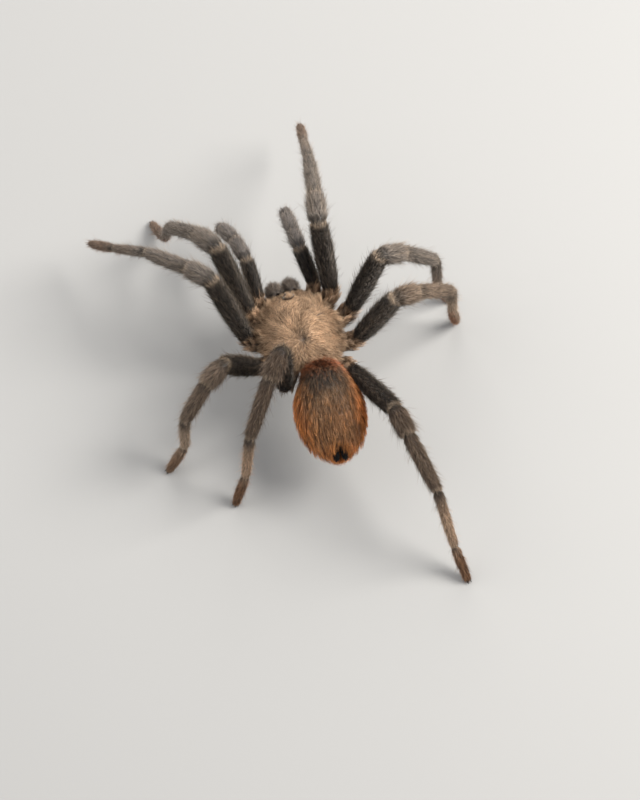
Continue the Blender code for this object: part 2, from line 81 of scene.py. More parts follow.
BLACK: Colour = (0.013, 0.0105, 0.0085)
CHARCOAL: Colour = (0.06, 0.048, 0.04)
TAUPE: Colour = (0.19, 0.148, 0.115)
PALE: Colour = (0.5, 0.37, 0.25)
RUST: Colour = (0.28, 0.13, 0.056)
ORANGE: Colour = (0.85, 0.33, 0.09)
EMBER: Colour = (0.34, 0.09, 0.025)
TAN: Colour = (0.6, 0.385, 0.23)
GOLD: Colour = (0.72, 0.51, 0.325)
CHESTNUT: Colour = (0.1, 0.032, 0.014)
BROWN: Colour = (0.2, 0.115, 0.06)
SAND: Colour = (0.52, 0.34, 0.2)


class Side(Enum):
    """A side of the animal, and the sign of lateral there."""

    LEFT = -1
    RIGHT = 1

    @property
    def letter(self) -> str:
        """The letter that this side's nodes carry."""
        return self.name[0]


class Slot(Enum):
    """The record's material slots, which each piece is passed with."""

    CARAPACE = "carapace"
    ABDOMEN = "abdomen"
    LEG = "leg"
    CHELICERA = "chelicera"
    UNDERSIDE = "underside"
    FANG = "fang"
    EYES = "eye_mound"
    SPINNERET = "spinneret"


# ------------------------------------------------------------------ arithmetic on whole arrays


def unit(vectors: Array) -> Array:
    """Vectors of any shape (..., 3), each divided by its own length."""
    return vectors / np.maximum(np.linalg.norm(vectors, axis=-1, keepdims=True), 1e-12)


def place(lateral: Array, forward: Array, height: Array) -> Array:
    """Points (X, Y, Z) in millimetres from places on the body."""
    return np.stack(np.broadcast_arrays(-1.0 * lateral, -1.0 * forward, 1.0 * height), -1)


def heading(yaw: Array, pitch: Array) -> Array:
    """Unit vectors that turn yaw degrees to the right of straight ahead and climb by pitch."""
    y, p = np.radians(yaw), np.radians(pitch)
    return np.stack((-np.sin(y) * np.cos(p), -np.cos(y) * np.cos(p), np.sin(p) + 0 * y), -1)


def bump(x: Array, centre: float, width: float) -> Array:
    """A bell: e to the minus square of the distance from centre, measured in widths."""
    return np.exp(-(((x - centre) / width) ** 2))


def step(x: Array, low: float, high: float) -> Array:
    """0 below low, 1 above high, and a smooth cubic rise between them."""
    t = np.clip((x - low) / (high - low), 0, 1)
    return t * t * (3 - 2 * t)


def mix(a: Array | Colour, b: Array | Colour, share: Array | float) -> Array:
    """Colours or vectors a, moved towards b by a share that lacks their last axis."""
    share = np.asarray(share)[..., None]
    return np.asarray(a) * (1 - share) + np.asarray(b) * share


def patchy(u: Array, v: Array, cells: tuple[int, int], seed: int) -> Array:
    """Smooth noise from 0 to 1 on the unit square, which joins up with itself along v.

    Random values stand on a lattice of cells and are blended with the smooth cubic between them.

    Args:
        u: share of the way along, from 0 to 1.
        v: share of the way round.
        cells: rows and columns of the lattice.
        seed: of its random values.

    Returns:
        The noise at each u and v.
    """
    rows, columns = cells
    lattice = np.random.default_rng(seed).random((rows + 2, columns))
    x, y = np.clip(u, 0, 1) * rows, np.mod(v, 1.0) * columns
    i, j = np.floor(x).astype(int), np.floor(y).astype(int) % columns
    s, t = step(x - np.floor(x), 0, 1), step(y - np.floor(y), 0, 1)
    k = (j + 1) % columns
    near = lattice[i, j] * (1 - t) + lattice[i, k] * t
    far = lattice[i + 1, j] * (1 - t) + lattice[i + 1, k] * t
    return near * (1 - s) + far * s


def press(points: Array, spot: Array, normal: Array) -> Array:
    """Points pushed back onto a plane, where they stand past it on the side of its normal.

    Args:
        points: places of any shape (..., 3).
        spot: a point of the plane.
        normal: unit vector on the side that is cleared.

    Returns:
        The points.
    """
    past = np.maximum(np.sum((points - spot) * normal, axis=-1, keepdims=True), 0)
    return points - past * normal


def polar(rows: int, columns: int) -> tuple[Array, Array, Array]:
    """The unit sphere as a grid whose poles lie on -Y and +Y: x, y and z of each point.

    Args:
        rows: rings from pole to pole.
        columns: points round each.

    Returns:
        x, y and z, each rows by columns.
    """
    slope = np.linspace(0.03, np.pi - 0.03, rows)[:, None]
    turn = 2 * np.pi * np.arange(columns)[None] / columns
    return np.sin(slope) * np.cos(turn), -np.cos(slope) + 0 * turn, np.sin(slope) * np.sin(turn)


def grid_uv(rows: int, columns: int) -> tuple[Array, Array]:
    """Shares from 0 to 1 along the rows and round the columns of a grid."""
    u = np.linspace(0, 1, rows)[:, None] + np.zeros((1, columns))
    return u, np.zeros((rows, 1)) + np.arange(columns)[None] / columns


@dataclass(frozen=True)
class Turn:
    """A place and two turns, about Z and then about X, that carry a form's own axes."""

    at: tuple[float, float, float]
    about_z: float
    about_x: float

    def apply(self, points: Array) -> Array:
        """Points of the form's own axes in the animal's frame."""
        z, x = math.radians(self.about_z), math.radians(self.about_x)
        c, s = math.cos(z), math.sin(z)
        turn_z = np.array(((c, -s, 0), (s, c, 0), (0, 0, 1)))
        c, s = math.cos(x), math.sin(x)
        turn_x = np.array(((1, 0, 0), (0, c, -s), (0, s, c)))
        return points @ (turn_z @ turn_x).T + place(*map(np.float64, self.at))


# ------------------------------------------------------------------ surfaces and hair roots


@dataclass
class Roots:
    """Where hairs grow: one row an array for each hair, and the size of the whole grid."""

    spot: Array
    normal: Array
    lie: Array
    tint: Array
    length: Array
    lift: Array
    u: Array
    v: Array
    extent: tuple[float, float]


@dataclass
class Surface:
    """A closed grid of skin, from its first pole to its last.

    Attributes:
        points: (rows, columns, 3) places in millimetres, in the animal's frame.
        tint: linear colour of the coat at each point.
        lie: the direction that hair lies in, along the rows unless it is given.
        density: how thick the coat grows, relative to the rest of the grid.
        length: how long it grows, relative to its kind.
        lift: degrees that it stands up more than its kind does.
        normal: unit vectors that point outwards.
        outward: whether rows by columns already turn outwards.
    """

    points: Array
    tint: Array
    lie: Array | None = None
    density: Array | float = 1.0
    length: Array | float = 1.0
    lift: Array | float = 0.0
    normal: Array = field(init=False)
    outward: bool = field(init=False)

    def __post_init__(self) -> None:
        """Fills the grids, works out normals that point outwards, and lays the lie flat."""
        shape = self.points.shape[:2]
        self.density, self.length, self.lift = (
            np.broadcast_to(np.asarray(values, float), shape)
            for values in (self.density, self.length, self.lift)
        )
        self.tint = np.broadcast_to(np.asarray(self.tint, float), self.points.shape)
        ahead = np.gradient(self.points, axis=0)
        around = np.roll(self.points, -1, axis=1) - np.roll(self.points, 1, axis=1)
        normal = unit(np.cross(ahead, around))
        middle = self.points.mean(axis=1, keepdims=True)
        self.outward = bool(np.sum(normal * (self.points - middle)) > 0)
        self.normal = normal if self.outward else -normal
        lie = ahead if self.lie is None else np.broadcast_to(self.lie, self.points.shape)
        along = np.sum(lie * self.normal, axis=-1, keepdims=True)
        self.lie = unit(lie - along * self.normal)

    def faces(self) -> tuple[Array, list[Array]]:
        """Quads between neighbouring points, and a flat cap at each end, all facing outwards."""
        rows, columns = self.points.shape[:2]
        index = np.arange(rows * columns).reshape(rows, columns)
        after = np.roll(index, -1, axis=1)
        quads = np.stack((index[:-1], index[1:], after[1:], after[:-1]), -1).reshape(-1, 4)
        caps = [index[0], index[-1, ::-1]]
        if not self.outward:
            quads, caps = quads[:, ::-1], [cap[::-1] for cap in caps]
        return quads, caps

    def extent(self) -> tuple[float, float]:
        """The mean length along the rows and the greatest girth, in millimetres."""
        ahead = np.linalg.norm(np.diff(self.points, axis=0), axis=-1).sum(axis=0).mean()
        steps = np.roll(self.points, -1, axis=1) - self.points
        return float(ahead), float(np.linalg.norm(steps, axis=-1).sum(axis=1).max())

    def roots(self, count: int, rng: np.random.Generator, weight: Array | None = None) -> Roots:
        """Spreads roots over the grid in proportion to each cell's area, density and weight.

        Args:
            count: how many hairs grow.
            rng: the source of the spread.
            weight: one more factor for each grid point, if the hair grows only in places.

        Returns:
            The roots, with everything read off between the four corners of their cells.
        """
        p = self.points
        right = np.roll(p, -1, axis=1)
        area = np.linalg.norm(np.cross(p[1:] - p[:-1], right[:-1] - p[:-1]), axis=-1)
        dense = self.density if weight is None else self.density * weight
        share = (area * (dense[1:] + dense[:-1]) / 2).ravel()
        total = np.cumsum(share)
        pick = np.searchsorted(total, (np.arange(count) + rng.random(count)) / count * total[-1])
        pick = np.minimum(pick, len(share) - 1)
        rows, columns = p.shape[:2]
        i, j = np.divmod(pick, columns)
        s, t = rng.random(count), rng.random(count)
        k = (j + 1) % columns
        corner = ((1 - s) * (1 - t), (1 - s) * t, s * (1 - t), s * t)

        def read(values: Array) -> Array:
            """The values between the corners of each root's cell."""
            found = (values[i, j], values[i, k], values[i + 1, j], values[i + 1, k])
            extra = (1,) * (values.ndim - 2)
            return sum(w.reshape(-1, *extra) * f for w, f in zip(corner, found))

        return Roots(
            read(p), unit(read(self.normal)), unit(read(self.lie)), read(self.tint),
            read(self.length), read(self.lift), (i + s) / (rows - 1), (j + t) / columns,
            self.extent(),
        )


def rings(path: Array, radius: Array, across: Array, up: Array, sides: int) -> tuple[Array, Array]:
    """Circles round a path in the planes of two unit vectors, and the angles of their points.

    Args:
        path: centres.
        radius: one for each centre.
        across: a unit vector at each centre.
        up: another, square to it.
        sides: points round a ring.

    Returns:
        The points, and the angle of each column.
    """
    turn = 2 * np.pi * np.arange(sides) / sides
    ring = np.cos(turn)[:, None] * across[:, None] + np.sin(turn)[:, None] * up[:, None]
    return path[:, None] + np.asarray(radius).reshape(-1, 1, 1) * ring, turn


def tube(path: Array, radius: Array, across: Array, tint: Array | Colour, sides: int = 18,
         **coat: Array) -> Surface:
    """Rings square to a path, each laid out from the side vector across. Both ends close.

    Args:
        path: centres of the rings.
        radius: one for each.
        across: which way a ring's first point lies.
        tint: colour, or one for each grid point.
        sides: points round a ring.
        coat: density, length or lift, as Surface has them.

    Returns:
        The closed surface.
    """
    tangent = unit(np.gradient(path, axis=0))
    side = np.broadcast_to(across, path.shape)
    side = unit(side - np.sum(side * tangent, axis=-1, keepdims=True) * tangent)
    points, _ = rings(path, radius, side, np.cross(side, tangent), sides)
    return Surface(points, np.asarray(tint), **coat)


def hook(start: Array, aim: Array, towards: Array, length: float, curl: float,
         radius: float, tint: Array | Colour, rings: int = 16) -> Surface:
    """A tapering spike that leaves start along aim and curls by an angle towards a direction.

    The radius falls with the square root of what is left, so that the point stays sharp and the
    root full.

    Args:
        start: its root.
        aim: unit vector that it starts along.
        towards: which way it curls.
        length: along the curl.
        curl: angle in degrees.
        radius: at its root.
        tint: its colour.
        rings: how many rings it has.

    Returns:
        The closed surface.
    """
    t = np.linspace(0, 1, rings)
    angle = math.radians(curl) * t
    towards = unit(towards - np.sum(towards * aim) * aim)
    steps = np.cos(angle)[:, None] * aim + np.sin(angle)[:, None] * towards
    path = start + np.cumsum(steps, axis=0) * length / rings
    return tube(path, radius * np.sqrt(1.003 - t), np.cross(aim, towards), tint, 12)


# ------------------------------------------------------------------ hair


@dataclass(frozen=True)
class HairKind:
    """How one kind of hair grows.

    Attributes:
        length: in millimetres.
        width: at its root, in millimetres.
        lift: degrees that it stands off the skin at its root.
        droop: degrees by which it bends back to the skin by its tip.
        stray: degrees that it turns from the lie, as a spread.
        bends: rings between its root and its tip.
        lock: width of the locks it leans together in, in millimetres.
        clump: how far it leans to its lock's middle, from 0 to 1.
        tip: colour that its tip fades to.
        tip_share: how far it fades there.
        uneven: spread of its length.
    """

    length: float
    width: float
    lift: float
    droop: float = 12.0
    stray: float = 12.0
    bends: int = 0
    lock: float = 0.8
    clump: float = 0.4
    tip: Colour = PALE
    tip_share: float = 0.25
    uneven: float = 0.25


@dataclass
class Spikes:
    """Hairs as one mesh: points, triangles, colours and the patch of each on the unwrap."""

    points: Array
    triangles: Array
    tint: Array
    along: Array
    lot: Array
    patch: Array


PATCH = 0.003               # how wide a hair's own place on the unwrap is
SPIKE_SIDES = 3


def hair_paths(roots: Roots, kind: HairKind,
               rng: np.random.Generator) -> tuple[Array, Array, Array]:
    """The middle line, the side vector and the lot of each hair.

    Its direction is the lie, turned by a stray angle and lifted off the skin, and it bends back
    from ring to ring. Hairs of one lock share a lean and a lot, and their tips draw together.

    Args:
        roots: where the hairs grow.
        kind: how they grow.
        rng: the source of their spread.

    Returns:
        The middle lines, the unit side vectors, and the lots from 0 to 1.
    """
    count = len(roots.u)
    rows, columns = (max(3, round(size / kind.lock)) for size in roots.extent)
    wander = 1.4 * (patchy(roots.u, roots.v, (rows, columns), 11) - 0.5)
    i = np.floor(roots.u * rows + wander).astype(int) + 2
    j = np.floor(roots.v * columns - wander + 0.5 * (i % 2)).astype(int) % columns
    lock = i * columns + j
    own = rng.random(((rows + 5) * columns, 2))[lock]
    lot = 0.5 + 1.1 * kind.clump * (own[:, 0] - 0.5) + 0.22 * rng.standard_normal(count)
    lean = 4 * kind.clump * (own[:, 1] - 0.5)
    turn = np.radians(kind.stray * (0.7 * rng.standard_normal(count) + lean))
    across = np.cross(roots.normal, roots.lie)
    lie = roots.lie * np.cos(turn)[:, None] + across * np.sin(turn)[:, None]
    lift = kind.lift + roots.lift + 0.35 * kind.stray * rng.standard_normal(count)
    length = kind.length * roots.length * (1 + kind.uneven * rng.uniform(-1, 1, count))
    steps = kind.bends + 1
    spots = [roots.spot - roots.normal * 0.05]
    for ring in range(steps):
        bend = np.radians(np.clip(lift - kind.droop * (2 * ring + 1) / steps, 2, 88))[:, None]
        aim = lie * np.cos(bend) + roots.normal * np.sin(bend)
        spots.append(spots[-1] + aim * (length / steps)[:, None])
    path = np.stack(spots, 1)
    tips = path[:, -1]
    crowd = np.maximum(np.bincount(lock), 1)[:, None]
    middle = np.stack([np.bincount(lock, tips[:, axis]) for axis in range(3)], -1) / crowd
    pull = kind.clump * (np.arange(steps + 1) / steps) ** 1.5
    path = path + pull[:, None] * (middle[lock] - tips)[:, None]
    return path, np.cross(roots.normal, lie), np.clip(lot, 0, 1)


def grow(surface: Surface, kind: HairKind, count: int, rng: np.random.Generator,
         weight: Array | None = None) -> Spikes:
    """Grows hairs on a surface: each is a three-sided tube that ends in a point.

    Its width falls as the square root of what is left of its length. On the unwrap it is a patch
    round its root's own place.

    Args:
        surface: the skin.
        kind: how the hairs grow.
        count: how many there are.
        rng: the source of their spread.
        weight: one more factor for each grid point, if they grow only in places.

    Returns:
        The hairs as one mesh.
    """
    roots = surface.roots(count, rng, weight)
    path, side, lot = hair_paths(roots, kind, rng)
    rings = kind.bends + 1
    aims = unit(np.gradient(path, axis=1))[:, :rings]
    up = np.cross(aims, side[:, None, :])[:, :, None]
    turns = (2 * np.pi * np.arange(SPIKE_SIDES) / SPIKE_SIDES)[:, None]
    radius = (0.5 * kind.width * np.sqrt(1 - np.arange(rings) / rings))[:, None, None]
    across = np.cos(turns) * side[:, None, None, :] + np.sin(turns) * up
    points = (path[:, :rings, None, :] + radius * across).reshape(count, -1, 3)
    points = np.concatenate((points, path[:, -1:]), axis=1)
    points[..., 2] = np.maximum(points[..., 2], HAIR_FLOOR)

    base = np.arange(SPIKE_SIDES)
    after = (base + 1) % SPIKE_SIDES
    faces = [base[::-1][None]]
    for ring in range(rings - 1):
        low, high = ring * SPIKE_SIDES, (ring + 1) * SPIKE_SIDES
        faces.append(np.stack((low + base, low + after, high + after), 1))
        faces.append(np.stack((low + base, high + after, high + base), 1))
    last, point = (rings - 1) * SPIKE_SIDES, rings * SPIKE_SIDES
    faces.append(np.stack((last + base, last + after, np.full(SPIKE_SIDES, point)), 1))
    each = point + 1
    triangles = (np.concatenate(faces) + each * np.arange(count)[:, None, None]).reshape(-1, 3)

    along = np.append(np.repeat(np.arange(rings) / rings, SPIKE_SIDES), 1.0)
    wide = np.append(np.tile(base / (SPIKE_SIDES - 1), rings), 0.5)
    u = PATCH + (1 - 2 * PATCH) * roots.u[:, None] + PATCH * (along - 0.5)
    v = PATCH + (1 - 2 * PATCH) * roots.v[:, None] + PATCH * (wide - 0.5)
    fade = kind.tip_share * along ** 2 + np.zeros((count, 1))
    tint = mix(roots.tint[:, None, :], kind.tip, fade)
    return Spikes(
        points.reshape(-1, 3), triangles, tint.reshape(-1, 3), np.tile(along, count),
        np.repeat(lot, each), np.stack((u, v), -1).reshape(-1, 2),
    )


# ------------------------------------------------------------------ meshes


@dataclass
class Body:
    """The animal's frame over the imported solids.

    The breast plate's middle is the animal's middle line, and the front edge of the carapace
    stands CARAPACE_FRONT ahead of its origin.
    """

    shift: Array = field(init=False)

    def __post_init__(self) -> None:
        """Reads the place of the breast plate and the carapace."""
        low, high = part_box("sternum")
        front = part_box("carapace")[0].y / MM
        self.shift = np.array(((low.x + high.x) / 2 / MM, front + CARAPACE_FRONT, 0.0))

    def metres(self, points: Array) -> Array:
        """Millimetres in the animal's frame as metres over the frame."""
        return (points + self.shift) * MM

    def make(self, name: str, points: Array, corners: Array, starts: Array) -> bpy.types.Object:
        """A smooth mesh object, with its place in its mesh.

        Args:
            name: the object's name.
            points: its vertices, in millimetres.
            corners: the vertices of all faces, one face after another.
            starts: where each face starts in corners.

        Returns:
            The object, linked to the scene.
        """
        mesh = bpy.data.meshes.new(name)
        mesh.vertices.add(len(points))
        mesh.vertices.foreach_set("co", self.metres(points).astype(np.float32).ravel())
        mesh.loops.add(len(corners))
        mesh.loops.foreach_set("vertex_index", corners.astype(np.int32))
        mesh.polygons.add(len(starts))
        mesh.polygons.foreach_set("loop_start", starts.astype(np.int32))
        mesh.update(calc_edges=True)
        mesh.shade_smooth()
        obj = bpy.data.objects.new(name, mesh)
        bpy.context.scene.collection.objects.link(obj)
        return obj

    def finish(self, obj: bpy.types.Object, material: bpy.types.Material, slot: Slot,
               nodes: tuple[str, ...] = ()) -> None:
        """Gives a piece its material and its place in the frame.

        Args:
            obj: the piece.
            material: its finish.
            slot: the material slot that it stands for; not used.
            nodes: the solids that it replaces.
        """
        obj.data.materials.append(material)
        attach(obj, "root")
        if nodes:
            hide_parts(*nodes)
        LOG.info("%s: %d faces", obj.name, len(obj.data.polygons))

    def skin(self, name: str, surfaces: list[Surface]) -> bpy.types.Object:
        """Several closed surfaces as one piece that carries their tints.

        Args:
            name: the piece's name.
            surfaces: closed surfaces.

        Returns:
            The piece, not yet finished.
        """
        quads, caps, first = [], [], 0
        for surface in surfaces:
            own_quads, own_caps = surface.faces()
            quads.append(own_quads + first)
            caps += [cap + first for cap in own_caps]
            first += surface.points.shape[0] * surface.points.shape[1]
        quads = np.concatenate(quads)
        sizes = np.concatenate((np.full(len(quads), 4), [len(cap) for cap in caps]))
        starts = np.cumsum(sizes) - sizes
        points = np.concatenate([surface.points.reshape(-1, 3) for surface in surfaces])
        obj = self.make(name, points, np.concatenate((quads.ravel(), *caps)), starts)
        set_tint(obj.data, np.concatenate([surface.tint.reshape(-1, 3) for surface in surfaces]))
        return obj

    def fur(self, name: str, parts: list[Spikes], material: bpy.types.Material, slot: Slot) -> None:
        """A coat with its finish."""
        self.finish(self.coat(name, parts), material, slot)

    def fuse(self, obj: bpy.types.Object, cell: float) -> bpy.types.Object:
        """Melts a piece's overlapping shells into one closed surface, built of cells of that size.

        Each new vertex takes the tint of the nearest old one.

        Args:
            obj: the piece.
            cell: size of a cell in millimetres.

        Returns:
            The same piece.
        """
        whole = obj.modifiers.new("fuse", "REMESH")
        whole.mode = "VOXEL"
        whole.voxel_size = cell * MM
        whole.use_smooth_shade = True
        seen = obj.evaluated_get(bpy.context.evaluated_depsgraph_get())
        mesh = bpy.data.meshes.new_from_object(seen)
        obj.modifiers.clear()
        old = obj.data
        tree = KDTree(len(old.vertices))
        for vertex in old.vertices:
            tree.insert(vertex.co, vertex.index)
        tree.balance()
        nearest = np.array([tree.find(vertex.co)[1] for vertex in mesh.vertices])
        tint = np.empty(len(old.vertices) * 4, np.float32)
        old.color_attributes["tint"].data.foreach_get("color", tint)
        obj.data = mesh
        set_tint(mesh, tint.reshape(-1, 4)[nearest, :3])
        bpy.data.meshes.remove(old)
        return obj

    def coat(self, name: str, parts: list[Spikes]) -> bpy.types.Object:
        """Hairs as one mesh, with their tints, their places along each hair and the unwrap.

        Args:
            name: the piece's name.
            parts: its hairs.

        Returns:
            The piece, not yet finished.
        """
        first = np.cumsum([0] + [len(part.points) for part in parts[:-1]])
        triangles = [part.triangles + start for part, start in zip(parts, first)]
        corners = np.concatenate(triangles).ravel()
        points = np.concatenate([part.points for part in parts])
        obj = self.make(name, points, corners, np.arange(0, len(corners), 3))
        patch = np.concatenate([part.patch for part in parts])[corners]
        layer = obj.data.uv_layers.new(name="OFBake")
        layer.data.foreach_set("uv", patch.astype(np.float32).ravel())
        set_tint(obj.data, np.concatenate([part.tint for part in parts]))
        for attribute in ("along", "lot"):
            values = np.concatenate([getattr(part, attribute) for part in parts])
            made = obj.data.attributes.new(name=attribute, type="FLOAT", domain="POINT")
            made.data.foreach_set("value", values.astype(np.float32))
        return obj


def set_tint(mesh: bpy.types.Mesh, tint: Array) -> None:
    """Writes a linear colour for each vertex as the attribute tint."""
    layer = mesh.color_attributes.new(name="tint", type="FLOAT_COLOR", domain="POINT")
    full = np.concatenate((tint, np.ones((len(tint), 1))), axis=1)
    layer.data.foreach_set("color", full.astype(np.float32).ravel())


# ------------------------------------------------------------------ finishes


@dataclass
class Nodes:
    """A node tree with short ways to add nodes to it."""

    tree: bpy.types.NodeTree

    def add(self, kind: str, **inputs: float) -> bpy.types.Node:
        """A shader node of that kind, with the values of its named inputs.

        Args:
            kind: the node's type after ShaderNode.
            inputs: values by input name.

        Returns:
            The node.
        """
        node = self.tree.nodes.new("ShaderNode" + kind)
        for name, value in inputs.items():
            node.inputs[name.replace("_", " ")].default_value = value
        return node

    def attribute(self, name: str, output: str) -> bpy.types.NodeSocket:
        """What an attribute of the mesh gives."""
        node = self.add("Attribute")
        node.attribute_name = name
        return node.outputs[output]

    def feed(self, socket: bpy.types.NodeSocket, value: bpy.types.NodeSocket | float) -> None:
        """Gives a socket a number, or links another socket to it."""
        if isinstance(value, float):
            socket.default_value = value
        else:
            self.tree.links.new(value, socket)

    def math(self, operation: str, a: bpy.types.NodeSocket, b: bpy.types.NodeSocket | float,
             c: float = 0.0) -> bpy.types.NodeSocket:
        """The result of a sum on sockets or numbers.

        Args:
            operation: what the node does.
            a, b, c: its inputs.

        Returns:
            Its output.
        """
        node = self.add("Math")
        node.operation = operation
        for index, value in enumerate((a, b, c)):
            self.feed(node.inputs[index], value)
        return node.outputs[0]

    def scale(self, colour: bpy.types.NodeSocket, factor: bpy.types.NodeSocket | float
              ) -> bpy.types.NodeSocket:
        """A colour times a number."""
        node = self.add("VectorMath")
        node.operation = "SCALE"
        self.tree.links.new(colour, node.inputs[0])
        self.feed(node.inputs["Scale"], factor)
        return node.outputs[0]

    def ramp(self, value: bpy.types.NodeSocket, low: float, high: float) -> bpy.types.NodeSocket:
        """A value from 0 to 1 carried to low to high."""
        node = self.add("MapRange", To_Min=low, To_Max=high)
        self.tree.links.new(value, node.inputs["Value"])
        return node.outputs[0]


def make_mottle_group() -> bpy.types.NodeTree:
    """Small blotches over a colour: two noises of Object coordinates make it darker or lighter.

    Returns:
        The group, with inputs Colour, Size and Amount and outputs Colour and Height.
    """
    group = bpy.data.node_groups.new("mottle", "ShaderNodeTree")
    for name, way, kind in (("Colour", "INPUT", "Color"), ("Size", "INPUT", "Float"),
                            ("Amount", "INPUT", "Float"), ("Colour", "OUTPUT", "Color"),
                            ("Height", "OUTPUT", "Float")):
        group.interface.new_socket(name=name, in_out=way, socket_type="NodeSocket" + kind)
    nodes = Nodes(group)
    enter, leave = group.nodes.new("NodeGroupInput"), group.nodes.new("NodeGroupOutput")
    coordinates = nodes.add("TexCoord")
    coarse, fine = nodes.add("TexNoise", Detail=4.0), nodes.add("TexNoise", Detail=4.0)
    group.links.new(enter.outputs["Size"], coarse.inputs["Scale"])
    group.links.new(nodes.math("MULTIPLY", enter.outputs["Size"], 6.0), fine.inputs["Scale"])
    for noise in (coarse, fine):
        group.links.new(coordinates.outputs["Object"], noise.inputs["Vector"])
    both = nodes.math("ADD", coarse.outputs[0], fine.outputs[0])
    centred = nodes.math("SUBTRACT", both, 1.0)
    factor = nodes.math("MULTIPLY_ADD", centred, enter.outputs["Amount"], 1.0)
    group.links.new(nodes.scale(enter.outputs["Colour"], factor), leave.inputs["Colour"])
    group.links.new(fine.outputs[0], leave.inputs["Height"])
    return group


@dataclass(frozen=True)
class Finish:
    """What the finishes share: a name, a gloss, and the blotches that break the colour."""

    name: str
    roughness: float = 0.5
    size: float = 420.0
    amount: float = 0.5

    def start(self) -> tuple[bpy.types.Material, Nodes, bpy.types.Node]:
        """A new material, its nodes and its shader."""
        made = bpy.data.materials.new(self.name)
        made.use_nodes = True
        shader = made.node_tree.nodes["Principled BSDF"]
        shader.inputs["Roughness"].default_value = self.roughness
        return made, Nodes(made.node_tree), shader

    def blotch(self, nodes: Nodes, mottle: bpy.types.NodeTree, colour: bpy.types.NodeSocket,
               shader: bpy.types.Node) -> bpy.types.Node:
        """Sends a colour through the blotches into the shader.

        Args:
            nodes: the material's nodes.
            mottle: the group.
            colour: what it breaks up.
            shader: what it feeds.

        Returns:
            The group's node, whose Height others may use.
        """
        group = nodes.tree.nodes.new("ShaderNodeGroup")
        group.node_tree = mottle
        group.inputs["Size"].default_value = self.size
        group.inputs["Amount"].default_value = self.amount
        nodes.tree.links.new(colour, group.inputs["Colour"])
        nodes.tree.links.new(group.outputs["Colour"], shader.inputs["Base Color"])
        return group


@dataclass(frozen=True)
class HairFinish(Finish):
    """The finish of a coat: its tint, darker at the root, with each hair a little different."""

    root: float = 0.4
    tip: float = 1.25
    variety: float = 0.7
    specular: float = 0.4

    def material(self, mottle: bpy.types.NodeTree) -> bpy.types.Material:
        """Builds the material. The colour is tint x (root to tip) x (1 +- variety) x blotches."""
        made, nodes, shader = self.start()
        fade = nodes.ramp(nodes.attribute("along", "Fac"), self.root, self.tip)
        spread = nodes.ramp(nodes.attribute("lot", "Fac"), 1 - self.variety, 1 + self.variety)
        factor = nodes.math("MULTIPLY", fade, spread)
        colour = nodes.scale(nodes.attribute("tint", "Color"), factor)
        self.blotch(nodes, mottle, colour, shader)
        shader.inputs["Specular IOR Level"].default_value = self.specular
        return made


@dataclass(frozen=True)
class CuticleFinish(Finish):
    """Bare skin or shell under the coat: a dark form of the coat's tint, finely pitted."""

    shade: float = 0.35
    pits: float = 0.3

    def material(self, mottle: bpy.types.NodeTree) -> bpy.types.Material:
        """Builds the material from the tint attribute and the shared blotches."""
        made, nodes, shader = self.start()
        colour = nodes.scale(nodes.attribute("tint", "Color"), self.shade)
        group = self.blotch(nodes, mottle, colour, shader)
        relief = nodes.add("Bump", Strength=self.pits, Distance=0.0001)
        nodes.tree.links.new(group.outputs["Height"], relief.inputs["Height"])
        nodes.tree.links.new(relief.outputs[0], shader.inputs["Normal"])
        return made


@dataclass(frozen=True)
class HornFinish(Finish):
    """Hard polished horn or an eye's lens: the tint under a clear coat, uneven in gloss."""

    coat: float = 0.6

    def material(self, mottle: bpy.types.NodeTree) -> bpy.types.Material:
        """Builds the material from the tint attribute and the shared blotches."""
        made, nodes, shader = self.start()
        group = self.blotch(nodes, mottle, nodes.attribute("tint", "Color"), shader)
        gloss = nodes.ramp(group.outputs["Height"], self.roughness * 0.6, self.roughness * 1.6)
        nodes.tree.links.new(gloss, shader.inputs["Roughness"])
        shader.inputs["Coat Weight"].default_value = self.coat
        shader.inputs["Coat Roughness"].default_value = 0.06
        return made


@dataclass
class Wardrobe:
    """Every material of the animal, built once."""

    leg_hair: bpy.types.Material = field(init=False)
    tan_hair: bpy.types.Material = field(init=False)
    rust_hair: bpy.types.Material = field(init=False)
    cuticle: bpy.types.Material = field(init=False)
    shell: bpy.types.Material = field(init=False)
    horn: bpy.types.Material = field(init=False)
    dark_eye: bpy.types.Material = field(init=False)
    pearl_eye: bpy.types.Material = field(init=False)

    def __post_init__(self) -> None:
        """Builds the finishes round one group of blotches."""
        mottle = make_mottle_group()
        self.leg_hair = HairFinish("leg_hair", 0.42).material(mottle)
        tan = HairFinish("carapace_hair", 0.6, root=0.6, variety=0.32, specular=0.25)
        self.tan_hair = tan.material(mottle)
        self.rust_hair = HairFinish("abdomen_hair", 0.42, root=0.42).material(mottle)
        self.cuticle = CuticleFinish("cuticle", 0.5, 900.0, 0.6).material(mottle)
        shell = CuticleFinish("carapace_cuticle", 0.45, 700.0, 0.6, shade=0.16)
        self.shell = shell.material(mottle)
        self.horn = HornFinish("fang_horn", 0.15, 1500.0, 0.5).material(mottle)
        self.dark_eye = HornFinish("dark_lens", 0.07, 2500.0, 0.2, coat=1.0).material(mottle)
        self.pearl_eye = HornFinish("pearly_lens", 0.1, 2500.0, 0.3, coat=1.0).material(mottle)


# ------------------------------------------------------------------ limbs


@dataclass(frozen=True)
class Pose:
    """Headings and slopes of a limb, in degrees, as the solids have them.

    yaw is that of the femur, of the patella and tibia, and of the foot. pitch has one slope for
    each segment. A planted leg lacks the last, which brings its tip down to the floor.
    """

    yaw: tuple[float, float, float]
    pitch: tuple[float, ...]

    def heading(self, segment: int) -> float:
        """The yaw of a segment."""
        return self.yaw[min((segment + 1) // 2, 2)]


